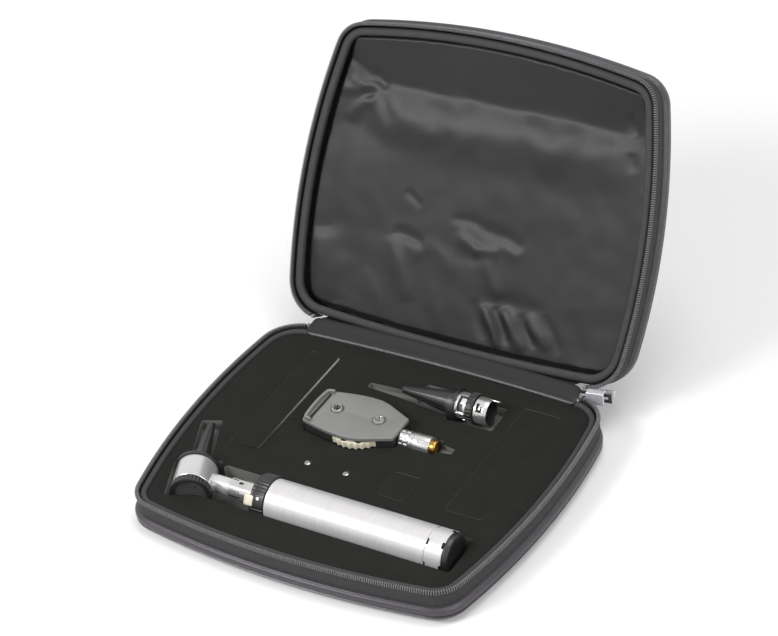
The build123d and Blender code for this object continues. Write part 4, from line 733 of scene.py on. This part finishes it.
def lining_height(x, y):
    """How far the satin stands, in mm, at a place on the lid."""
    warp_x = x + 2.2 * noise.noise(Vector((x / 17, y / 17, 3.0)))
    warp_y = y + 2.2 * noise.noise(Vector((x / 17, y / 17, 9.0)))
    side = SIDE_BOW - math.hypot(abs(x) - SIDE_AT + SIDE_BOW, y - SIDE_SHIFT)
    rear = REAR_BOW - math.hypot(x, y - REAR_AT + REAR_BOW)
    front = FRONT_BOW - math.hypot(x, y - FRONT_BOW + FRONT_AT)
    depth = -4.0 * math.log(math.exp(-side / 4.0) + math.exp(-rear / 4.0))
    side_bank, rear_bank = share((side - 6.0) / 26.0), share((rear - 6.0) / 26.0)
    slope = share((y + 94.6) / 35.0)
    slope = slope * 0.8 + 0.2 * smooth(slope)
    level = PAD_LEVEL + 3.6 * (1 - smooth(side_bank)) - 0.4 * (1 - rear_bank) ** 2
    ramp = ROLL_LEVEL - 9.5 * slope
    level = 1.1 * math.log(math.exp(level / 1.1) + math.exp(ramp / 1.1)) - 0.7
    level = min(level, ROLL_LEVEL) - 1.2 * share(y / 80.0) ** 2
    level -= 4.2 * smooth(share((8.2 - min(depth, front)) / 1.8))
    swell, ripple = Vector((x / 60, y / 60, 1.0)), Vector((x / 14, y / 14, 5.0))
    level += 0.7 * noise.noise(swell) + 0.25 * noise.noise(ripple)
    for x0, y0, x1, y1, width, lift in STROKES:
        dx, dy = x1 - x0, y1 - y0
        length = math.hypot(dx, dy)
        along = ((warp_x - x0) * dx + (warp_y - y0) * dy) / length
        aside = ((warp_x - x0) * dy - (warp_y - y0) * dx) / length
        beyond = max(0.0, -along, along - length)
        if abs(aside) > 3.5 * width or beyond > 2.5 * width:
            continue
        taper = math.sin(math.pi * share((along + width) / (length + 2 * width))) ** 0.6
        level += lift * taper * math.exp(-((aside / width) ** 2)) * math.exp(-((beyond / width) ** 2))
    return level


def inside(x, y, line):
    crossings = 0
    for (ax, ay), (bx, by) in zip(line, line[1:] + line[:1]):
        if (ay > y) != (by > y) and x < (bx - ax) * (y - ay) / (by - ay) + ax:
            crossings += 1
    return crossings % 2 == 1


satin_mesh = bmesh.new()
satin_chart = satin_mesh.loops.layers.uv.new("UVMap")
edge_line = rim(SATIN_GROW)
satin_spots = {}
for column in range(int(SATIN_WIDTH / SATIN_STEP) + 1):
    for row in range(int(SATIN_DEPTH / SATIN_STEP) + 1):
        x, y = column * SATIN_STEP - SATIN_WIDTH / 2, row * SATIN_STEP - SATIN_DEPTH / 2
        if inside(x, y, edge_line):
            spot = (x / 1000, y / 1000, lining_height(-x, y) / 1000)
            satin_spots[column, row] = satin_mesh.verts.new(spot)
for column, row in list(satin_spots):
    corners = [(column, row), (column + 1, row), (column + 1, row + 1), (column, row + 1)]
    if all(corner in satin_spots for corner in corners):
        face = satin_mesh.faces.new([satin_spots[corner] for corner in corners])
        for loop in face.loops:
            loop[satin_chart].uv = (loop.vert.co.x, loop.vert.co.y)
satin_lining = put_mesh("satin_lining", satin_mesh)
satin_lining.data.transform(OVER)
satin_lining.data.shade_smooth()
satin = Finish("satin", roughness=0.36, specular_ior_level=0.3, sheen_weight=0.05, sheen_roughness=0.4)
on_satin = satin.place()
threads = satin.node(
    "ShaderNodeTexWave", {"Vector": satin.along(), "Scale": 700.0, "Distortion": 1.5, "Detail": 2.0},
    output=1,
)
grime = satin.noise(on_satin, 22.0, 5.0, 0.6)
fleck = satin.noise(on_satin, 1500.0, 1.0)
satin.colour(grime * 0.6 + fleck * 0.4, (0.007, 0.0073, 0.007), (0.026, 0.026, 0.0252))
satin.feed("Roughness", grime * 0.12 + threads * 0.08 + 0.28)
satin.relief(threads * 0.4 + fleck * 0.6, 0.00012, 0.5)
dress(satin_lining, "lid_lining", satin, "lid")
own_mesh(satin_lining)

# ---- The zipper's tail, slider and pull.
# Past the last tooth the tape runs on as a short free tail. The parked slider is a die-cast body
# with a bridge that carries a small pull.
plating = Finish("zip_metal", metallic=0.5, roughness=0.3)
plating.mottle(
    (240.0, 5.0, 0.65), (0.62, 0.63, 0.68), (0.88, 0.885, 0.92), gloss=(0.22, 0.14), bump=(0.00003, 0.2),
    stretch=(1, 1, 6),
)
soft_copy("tail", "zipper_tail", weave, "base", 0.0001, 3, 50)
soft_copy("slider", "zipper_slider", plating, "slider", 0.0007, 3, 50)
soft_copy("pull_tab", "zipper_pull", plating, "pull", 0.0003, 3, 50)

# ---- The battery handle.
# A satin aluminium tube holds two cells on a spring. Its cap is turned from the same stock, with
# two rings of notches for the fingers, and closed by a black plug.
HANDLE_AXIS = Matrix.Translation((0, -0.0568, 0.0195))
TUBE_RADIUS = 14.0
NOTCH_COUNT, NOTCH_HALF = 6, 8.0


def spun(name, profile, place, steps=96):
    """A piece spun from its section: (along, radius) points in mm about the X axis."""
    data = bpy.data.meshes.new(name)
    points = [(along / 1000, 0.0, radius / 1000) for along, radius in profile]
    edges = [(number, number + 1) for number in range(len(points) - 1)]
    if profile[0][1] > 0 and profile[-1][1] > 0:
        edges.append((len(points) - 1, 0))
    data.from_pydata(points, edges, [])
    piece = put(name, data)
    pick(piece)
    bpy.ops.object.mode_set(mode="EDIT")
    bpy.ops.mesh.select_all(action="SELECT")
    bpy.ops.mesh.spin(steps=steps, angle=math.tau, center=(0, 0, 0), axis=(1, 0, 0))
    bpy.ops.mesh.select_all(action="SELECT")
    bpy.ops.mesh.remove_doubles(threshold=2e-6)
    bpy.ops.mesh.normals_make_consistent(inside=False)
    bpy.ops.object.mode_set(mode="OBJECT")
    soften(piece, 32)
    data.transform(place)
    return piece


def turned(name, node, finish, body, profile, place, steps=96):
    """A spun piece that needs no milling, dressed."""
    return dress(spun(name, profile, place, steps), node, finish, body)


def carve(piece, cutter):
    """Cut one shape out of a piece and take the cutter away."""
    fit(piece, "BOOLEAN", object=cutter, operation="DIFFERENCE", solver="EXACT")
    bpy.data.objects.remove(cutter)


def slotted(piece, place, radius, runs):
    """Mill slots through a turned piece's wall: each run is (x, x, turn, turn), in mm and degrees."""
    inner, outer = radius - 1.4, radius + 2
    for start, end, low, high in runs:
        count = max(1, round((high - low) / 5))
        points = []
        for step in range(count + 1):
            turn = math.radians(low + (high - low) * step / count)
            for along, reach in ((start, inner), (end, inner), (end, outer), (start, outer)):
                spot = Vector((along / 1000, reach * math.cos(turn) / 1000, reach * math.sin(turn) / 1000))
                points.append(place @ spot)
        carve(piece, solid("slot_cutter", points, tube_faces(count + 1, 4)))
    soften(piece, 32)


def blacken(piece, place, radius, black):
    """Give the faces nearer the axis than a radius, in mm, a second finish."""
    piece.data.materials.append(black.material)
    back = place.inverted()
    for face in piece.data.polygons:
        at = back @ face.center
        if math.hypot(at.y, at.z) < radius / 1000:
            face.material_index = 1


# Near-black for bores, also used as painted shade in the cap's notches and the faceplate's groove.
bore_black_and_painted_shade = Finish("bore_black_and_painted_shade", roughness=0.6)
bore_black_and_painted_shade.mottle((500.0,), (0.006, 0.006, 0.006), (0.016, 0.016, 0.017))
brushed = Finish("tube_aluminium", metallic=0.25, roughness=0.36)
turning = brushed.noise(brushed.place((900, 60, 60)), 1.0, 3.0, 0.6)
cloudy = brushed.noise(brushed.place(), 90.0, 3.0, 0.5)
brushed.colour(turning * 0.6 + cloudy * 0.4, (0.52, 0.51, 0.52), (0.72, 0.705, 0.715))
brushed.feed("Roughness", turning * 0.14 + 0.30)
brushed.relief(turning, 0.00006, 0.5)
moulded = Finish("black_plastic", roughness=0.34)
grit = moulded.noise(moulded.place(), 900.0, 3.0, 0.6)
rubbed = moulded.noise(moulded.place(), 120.0, 3.0, 0.6)
moulded.colour(rubbed * 0.7 + grit * 0.3, (0.007, 0.007, 0.0075), (0.028, 0.027, 0.026))
moulded.feed("Roughness", rubbed * 0.2 + 0.24)
moulded.relief(grit, 0.00005, 0.5)
turned(
    "tube", "handle_tube", brushed, "otoscope",
    [(-29, 13.3), (-29, 13.75), (-28.75, 14.0), (20, 14.0), (81.75, 14.0), (82, 13.8), (82, 13.3)],
    HANDLE_AXIS, 128,
)
cap = spun(
    "end_cap",
    [(82.15, 12.4), (82.15, 13.8), (82.35, 14.0), (93.1, 14.0), (93.6, 13.6), (93.6, 12.4)],
    HANDLE_AXIS, 128,
)
notch_runs = []
for number in range(1, NOTCH_COUNT + 1):
    turn = 360.0 / NOTCH_COUNT * number
    for start, end in ((82.0, 83.4), (92.2, 93.8)):
        notch_runs.append((start, end, turn - NOTCH_HALF, turn + NOTCH_HALF))
slotted(cap, HANDLE_AXIS, TUBE_RADIUS, notch_runs)
dress(cap, "handle_end_cap", brushed, "end_cap")
# The notches' floors and lower walls, and the cap's inside, are painted near-black: painted shade in the
# recesses.
blacken(cap, HANDLE_AXIS, 13.55, bore_black_and_painted_shade)
turned(
    "end_plug", "handle_end_plug", moulded, "end_cap",
    [(93.7, 0), (93.7, 13.2), (95.8, 13.1), (96.9, 12.4), (97.2, 11.6), (97.2, 9.2), (96.7, 8.7), (96.7, 0)],
    HANDLE_AXIS,
)
jacket = Finish("cell_jacket", roughness=0.4)
jacket.mottle((3.0,), (0.05, 0.05, 0.055), (0.22, 0.22, 0.23), stretch=(30, 5, 5))
jacket.cover(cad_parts["battery_cells"])
sprung = Finish("spring_steel", metallic=1.0, roughness=0.3)
sprung.mottle((700.0,), (0.30, 0.295, 0.29), (0.50, 0.49, 0.475))
sprung.cover(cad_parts["battery_spring"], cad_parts["blade_pivot_pin"])

# ---- The rheostat collar, its button and the bayonet sleeve.
# The collar is fluted black plastic with a white index dot and turns to dim the lamp. A cream
# button sits in its edge, and the plated sleeve has slots that take the head's bayonet.
BUTTON_BOX = (0.0066, 0.0054, 0.0070)
DOT_RADIUS, DOT_FLATNESS = 0.0011, 0.25
SLEEVE_SLOTS = (
    (-58.8, -54.6, 79, 86), (-53.2, -50.2, 91, 105), (-58.6, -51.5, 128, 132), (-58.6, -51.0, 145, 149),
)


def fluted(piece, place, count, depth, span, radius, sharp=1.0, bare=(0.0, 0.0)):
    """Press straight flutes round the outside of a turned piece, but for a bare part of its turn."""
    back = place.inverted()
    for corner in piece.data.vertices:
        spot = back @ corner.co
        reach = math.hypot(spot.y, spot.z)
        turn = math.atan2(spot.z, spot.y)
        pressed = span[0] / 1000 <= spot.x <= span[1] / 1000 and reach > radius / 1000
        if pressed and abs(turn - bare[0]) >= bare[1]:
            cut = (0.5 - 0.5 * math.cos(turn * count)) ** sharp * depth / 1000
            scale = (reach - cut) / reach
            corner.co = place @ Vector((spot.x, spot.y * scale, spot.z * scale))


def on_wall(axis, degrees, along, reach):
    """A place on the side of a turned piece, in metres along its axis and out from it."""
    return axis @ Matrix.Rotation(math.radians(degrees), 4, "X") @ Matrix.Translation((along, reach, 0))


def block(name, box, place, width, segments, degrees):
    """A small rounded block of a given size at a place."""
    bpy.ops.mesh.primitive_cube_add(size=1.0)
    piece = bpy.context.object
    piece.name = name
    piece.data.transform(place @ Matrix.Diagonal((*box, 1.0)))
    fit(piece, "BEVEL", width=width, segments=segments, limit_method="NONE")
    soften(piece, degrees)
    return piece


collar = turned(
    "collar", "rheostat_collar", moulded, "collar",
    [
        (-39.2, 7.3), (-39.2, 14.2), (-38.9, 14.7), (-38.2, 15.15), (-36.7, 15.15), (-36.6, 15.2),
        (-29.5, 15.2), (-29.2, 14.9), (-29.2, 7.3),
    ],
    HANDLE_AXIS, 240,
)
bare_part = (math.radians(147.0), math.radians(17.0))
fluted(collar, HANDLE_AXIS, 40, 0.55, (-38.0, -29.1), 14.0, 1.6, bare_part)
cream = Finish("cream_plastic", roughness=0.4, coat_weight=0.2)
cream.mottle(
    (260.0, 4.0, 0.6), (0.70, 0.63, 0.46), (0.90, 0.86, 0.72), gloss=(0.15, 0.32), bump=(0.00005, 0.4)
)
button = block("button", BUTTON_BOX, on_wall(HANDLE_AXIS, 150.0, -0.0391, 0.0130), 0.0013, 4, 60)
dress(button, "switch_button", cream, "button")
bpy.ops.mesh.primitive_uv_sphere_add(segments=20, ring_count=10, radius=DOT_RADIUS)
index_dot = bpy.context.object
index_dot.name = "index_dot"
index_dot.data.transform(
    on_wall(HANDLE_AXIS, 141.0, -0.0330, 0.01515) @ Matrix.Diagonal((1.0, DOT_FLATNESS, 1.0, 1.0))
)
soften(index_dot, 60)
paint = Finish("index_paint", roughness=0.45)
paint.mottle((2500.0,), (0.72, 0.71, 0.68), (0.92, 0.91, 0.88))
paint.cover(index_dot)
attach(index_dot, "collar")
chrome = Finish("chromed_brass", metallic=0.85, roughness=0.24)
chrome.mottle((90.0, 3.0), (0.50, 0.49, 0.48), (0.76, 0.755, 0.75), gloss=(0.16, 0.18))
sleeve = soft_copy("sleeve", "handle_sleeve", chrome, "otoscope", 0.00025)
slotted(sleeve, HANDLE_AXIS, 7.0, SLEEVE_SLOTS)
blacken(sleeve, HANDLE_AXIS, 6.8, bore_black_and_painted_shade)

# ---- The otoscope's head.
# A chromed barrel carries a knurled lens ring at the front and a flared black seat at the back,
# where the disposable-style speculum twists on. A plated neck joins it to the handle.
HEAD_AXIS = Matrix.Translation((-0.0806, -0.0732, 0.0195)) @ Matrix.Rotation(math.radians(112.0), 4, "Z")
satin_chrome = Finish("satin_chrome", metallic=0.55, roughness=0.22)
satin_chrome.mottle(
    (70.0, 3.0), (0.50, 0.515, 0.525), (0.74, 0.73, 0.72), gloss=(0.14, 0.14), stretch=(1, 1, 3)
)
barrel = turned(
    "barrel", "otoscope_barrel", satin_chrome, "otoscope",
    [(5.02, 11.0), (5.02, 12.75), (5.3, 13.0), (14.5, 13.0), (23.7, 13.0), (24.0, 12.8), (24.0, 11.0)],
    HEAD_AXIS, 128,
)
blacken(barrel, HEAD_AXIS, 11.5, bore_black_and_painted_shade)
lens_ring = turned(
    "lens_ring", "lens_ring", moulded, "lens_cap",
    [
        (0.3, 10.5), (0.0, 10.8), (0.0, 12.6), (0.25, 13.1), (0.8, 13.4), (4.4, 13.4), (4.95, 12.9),
        (4.95, 10.5),
    ],
    HEAD_AXIS, 216,
)
fluted(lens_ring, HEAD_AXIS, 36, 0.6, (0.7, 4.5), 13.2, 1.2)
turned(
    "speculum_seat", "speculum_seat", moulded, "otoscope",
    [
        (24.05, 11.0), (24.05, 13.7), (24.4, 14.2), (24.9, 14.3), (25.8, 14.2), (26.6, 13.6), (27.3, 12.4),
        (28.2, 10.8), (29.3, 9.2), (30.3, 8.0), (31.0, 7.2), (31.0, 6.1), (29.4, 6.05), (25.7, 11.0),
    ],
    HEAD_AXIS, 128,
)
speculum = turned(
    "speculum", "ear_speculum", moulded, "speculum",
    [
        (27.5, 5.9), (31.0, 5.9), (33.0, 5.6), (37.0, 5.15), (44.0, 4.5), (52.0, 3.85), (60.0, 3.3),
        (66.0, 2.9), (68.0, 2.85), (68.45, 2.6), (68.45, 2.2), (66.0, 2.0), (52.0, 3.0), (31.0, 5.05),
        (27.5, 5.1),
    ],
    HEAD_AXIS,
)
fluted(speculum, HEAD_AXIS, 8, 0.28, (31.5, 62.0), 2.7)
soft_copy("neck", "otoscope_neck", satin_chrome, "otoscope", 0.00015)
clear = Finish("optical_glass", roughness=0.03, transmission_weight=0.95, ior=1.5)
clear.mottle((80.0,), (0.86, 0.90, 0.90), (0.96, 0.98, 0.97), gloss=(0.04, 0.01))
clear.cover(*(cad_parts[name] for name in ("magnifier_lens", "window_lens", "wheel_lenses")))
lamp_glass = Finish("lamp_glass", roughness=0.05, transmission_weight=0.8, ior=1.45)
lamp_glass.mottle((300.0,), (0.75, 0.75, 0.72), (0.95, 0.95, 0.93))
lamp_glass.cover(*(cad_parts[name] for name in ("otoscope_bulb", "ophth_bulb")))

# ---- The ophthalmoscope head.
# A grey enamelled faceplate closes a black housing that holds the cream lens wheel. The wheel's
# toothed rim sticks out at the sides, and a plated neck ends in a slotted sleeve and brass contact.
OPHTH_AXIS = Matrix.Translation((0, 0.0246, 0.0203))
PLATE_MIDDLE, PLATE_LOW, PLATE_TOP = 24.6, 25.5, 28.0
PLATE_HALVES = (
    (-49.0, 15.2), (-43.5, 16.7), (-37.0, 18.1), (-31.0, 19.2), (-25.0, 20.0), (-18.5, 20.4), (-11.0, 20.0),
    (-5.0, 18.4), (1.0, 15.8), (7.5, 12.9), (13.4, 10.3),
)
PLATE_END = [(-50.0, 17.0), (-50.4, 24.6), (-50.0, 32.2)]
EYEHOLE_Y, EYEHOLE_RADIUS = 0.0263, 0.0026
EYEHOLES = (("sight_bezel", -33.5), ("window_bezel", -3.2))
GROOVE_PLACE, GROOVE_BOX = (-0.0449, 0.0246, 0.0282), (0.0020, 0.0270, 0.0020)
GROOVE_PAINTED_SHADE = ((-0.0462, -0.0437), (0.0109, 0.0383), (0.0262, 0.0278))
plate_line = [(x, PLATE_MIDDLE + half) for x, half in PLATE_HALVES]
plate_line += [(x, PLATE_MIDDLE - half) for x, half in reversed(PLATE_HALVES)] + PLATE_END
plate_points = [(x / 1000, y / 1000, z / 1000) for z in (PLATE_LOW, PLATE_TOP) for x, y in plate_line]
faceplate = solid("faceplate", plate_points, tube_faces(2, len(plate_line)))
for _, across in EYEHOLES:
    bpy.ops.mesh.primitive_cylinder_add(
        vertices=48, radius=EYEHOLE_RADIUS, depth=0.01, location=(across / 1000, EYEHOLE_Y, 0.027)
    )
    carve(faceplate, bpy.context.object)
bpy.ops.mesh.primitive_cube_add(size=1.0, location=GROOVE_PLACE)
groove = bpy.context.object
groove.data.transform(Matrix.Diagonal((*GROOVE_BOX, 1.0)))
carve(faceplate, groove)
fit(faceplate, "BEVEL", width=0.0006, segments=4, limit_method="ANGLE", angle_limit=math.radians(50))
soften(faceplate, 40)
enamel = Finish("plate_enamel", roughness=0.42, coat_weight=0.15, coat_roughness=0.3)
stipple = enamel.noise(enamel.place(), 1500.0, 3.0, 0.7)
drift = enamel.noise(enamel.place(), 45.0, 3.0, 0.5)
enamel.colour(drift * 0.6 + stipple * 0.4, (0.15, 0.15, 0.145), (0.27, 0.268, 0.26))
enamel.feed("Roughness", stipple * 0.15 + 0.34)
enamel.relief(stipple, 0.00008, 0.6)
dress(faceplate, "ophth_faceplate", enamel, "ophthalmoscope")
# The groove inside the brow rest is painted near-black: painted shade in the recess.
faceplate.data.materials.append(bore_black_and_painted_shade.material)
for face in faceplate.data.polygons:
    if all(low < at < high for at, (low, high) in zip(face.center, GROOVE_PAINTED_SHADE)):
        face.material_index = 1
crackle = Finish("housing_black", roughness=0.5)
crackle.mottle((1100.0, 4.0, 0.6), (0.006, 0.006, 0.006), (0.024, 0.023, 0.022), bump=(0.00010, 0.7))
brass = Finish("contact_brass", metallic=1.0, roughness=0.25)
brass.mottle((420.0, 4.0, 0.6), (0.26, 0.13, 0.025), (0.58, 0.36, 0.10), gloss=(0.2, 0.16))
soft_copy("housing", "ophth_housing", crackle, "ophthalmoscope", 0.0006, 3, 50)
soft_copy("brow_rest", "brow_rest", enamel, "ophthalmoscope", 0.0005, 3)
soft_copy("lens_wheel", "lens_wheel", cream, "wheel", 0.00035, 3, 30)
chrome.cover(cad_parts["wheel_pivot"])
brass.cover(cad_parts["contact_disc"])
gunmetal = Finish("gunmetal", metallic=0.5, roughness=0.4)
gunmetal.mottle((260.0, 3.0), (0.09, 0.09, 0.088), (0.20, 0.198, 0.19), gloss=(0.2, 0.3))
bezel_profile = [
    (0, 2.6), (0, 4.3), (0.5, 4.3), (0.9, 4.0), (1.0, 3.6), (0.75, 3.35), (0.8, 3.1), (1.35, 2.95),
    (1.35, 2.6),
]
for node, across in EYEHOLES:
    stand = Matrix.Translation((across / 1000, EYEHOLE_Y, 0.028)) @ Matrix.Rotation(-math.pi / 2, 4, "Y")
    bezel = turned(node, node, gunmetal, "ophthalmoscope", bezel_profile, stand, 64)
    blacken(bezel, stand, 3.3, chrome)
ophth_neck = turned(
    "ophth_neck", "ophth_neck", chrome, "ophthalmoscope",
    [
        (13.7, 2.0), (13.7, 5.7), (14.2, 6.1), (16.3, 6.1), (16.7, 5.3), (17.3, 5.3), (17.7, 6.1),
        (20.0, 6.1), (20.4, 5.2), (21.2, 5.2), (21.6, 5.9), (22.5, 5.9), (22.8, 5.5), (22.9, 2.0),
    ],
    OPHTH_AXIS,
)
fluted(ophth_neck, OPHTH_AXIS, 10, 0.5, (14.0, 20.2), 5.6, 2.0)
soft_copy("ophth_sleeve", "ophth_sleeve", chrome, "ophthalmoscope", 0.0003)
soft_copy("ophth_contact", "ophth_contact", brass, "ophthalmoscope", 0.0005, 3)

# ---- The nasal speculum head.
# Two black blades spread as the knurled ring turns. Behind the base ring are a plated bayonet
# socket with J slots, the knurled ring, and a second plated coupling with its locking tab.
NASAL_AXIS = Matrix.Translation((0, 0.063, 0.025))
SOCKET_SLOTS = ((35.8, 37.8, 128, 176), (37.7, 42.3, 164, 176))
COUPLING_SLOTS = ((49.0, 50.9, 112, 150), (50.8, 53.2, 138, 150), (51.9, 53.2, 124, 139))
PLATED_RADIUS, BORE_RADIUS = 8.6, 7.6
TAB_BOX = (0.0068, 0.0009, 0.0034)
soft_copy("base_ring", "nasal_base_ring", moulded, "nasal", 0.0005, 3)
soft_copy("fixed_blade", "nasal_fixed_blade", moulded, "nasal", 0.0003)
soft_copy("moving_blade", "nasal_moving_blade", moulded, "blade", 0.0003)
socket = soft_copy("bayonet_socket", "nasal_socket", chrome, "nasal", 0.00035, 3)
soft_copy("turn_ring", "nasal_turn_ring", moulded, "turn_ring", 0.00025)
coupling = spun(
    "coupling",
    [
        (47.4, 5.0), (47.4, 8.3), (47.7, 8.6), (53.9, 8.6), (54.3, 8.3), (56.0, 8.1), (56.3, 7.9),
        (56.3, 7.2), (50.2, 7.2), (49.9, 5.0),
    ],
    NASAL_AXIS,
)
for piece, slots in ((socket, SOCKET_SLOTS), (coupling, COUPLING_SLOTS)):
    slotted(piece, NASAL_AXIS, PLATED_RADIUS, slots)
dress(coupling, "nasal_coupling", chrome, "nasal")
for piece in (socket, coupling):
    blacken(piece, NASAL_AXIS, BORE_RADIUS, bore_black_and_painted_shade)
tab = block("coupling_tab", TAB_BOX, on_wall(NASAL_AXIS, 48.0, 0.0572, 0.0078), 0.0003, 2, 40)
chrome.cover(tab)
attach(tab, "nasal")

# ---- The spare lamps.
# Two spare lamps stand in holes in the foam, glass down, with only their bases in sight.
GLASS_TOP = 0.0129
LAMP_SPOTS = ((-28.7, -19.2), (-1.3, -18.9))
lamp_profile = [
    (8.0, 0), (8.05, 0.7), (8.6, 1.3), (9.4, 1.5), (13.0, 1.5), (13.0, 2.1), (19.4, 2.1), (19.6, 1.9),
    (19.9, 1.9), (20.1, 2.1), (20.7, 2.0), (21.0, 1.5), (21.1, 0.9), (21.4, 0.8), (21.4, 0),
]
for number, (across, deep) in enumerate(LAMP_SPOTS, start=1):
    upright = Matrix.Translation((across / 1000, deep / 1000, 0)) @ Matrix.Rotation(-math.pi / 2, 4, "Y")
    name, node, body = f"spare_lamp_{number}", f"spare_bulb_{number}", f"bulb_{number}"
    spare = turned(name, node, sprung, body, lamp_profile, upright, 32)
    spare.data.materials.append(lamp_glass.material)
    for face in spare.data.polygons:
        face.material_index = 1 if face.center.z < GLASS_TOP else 0
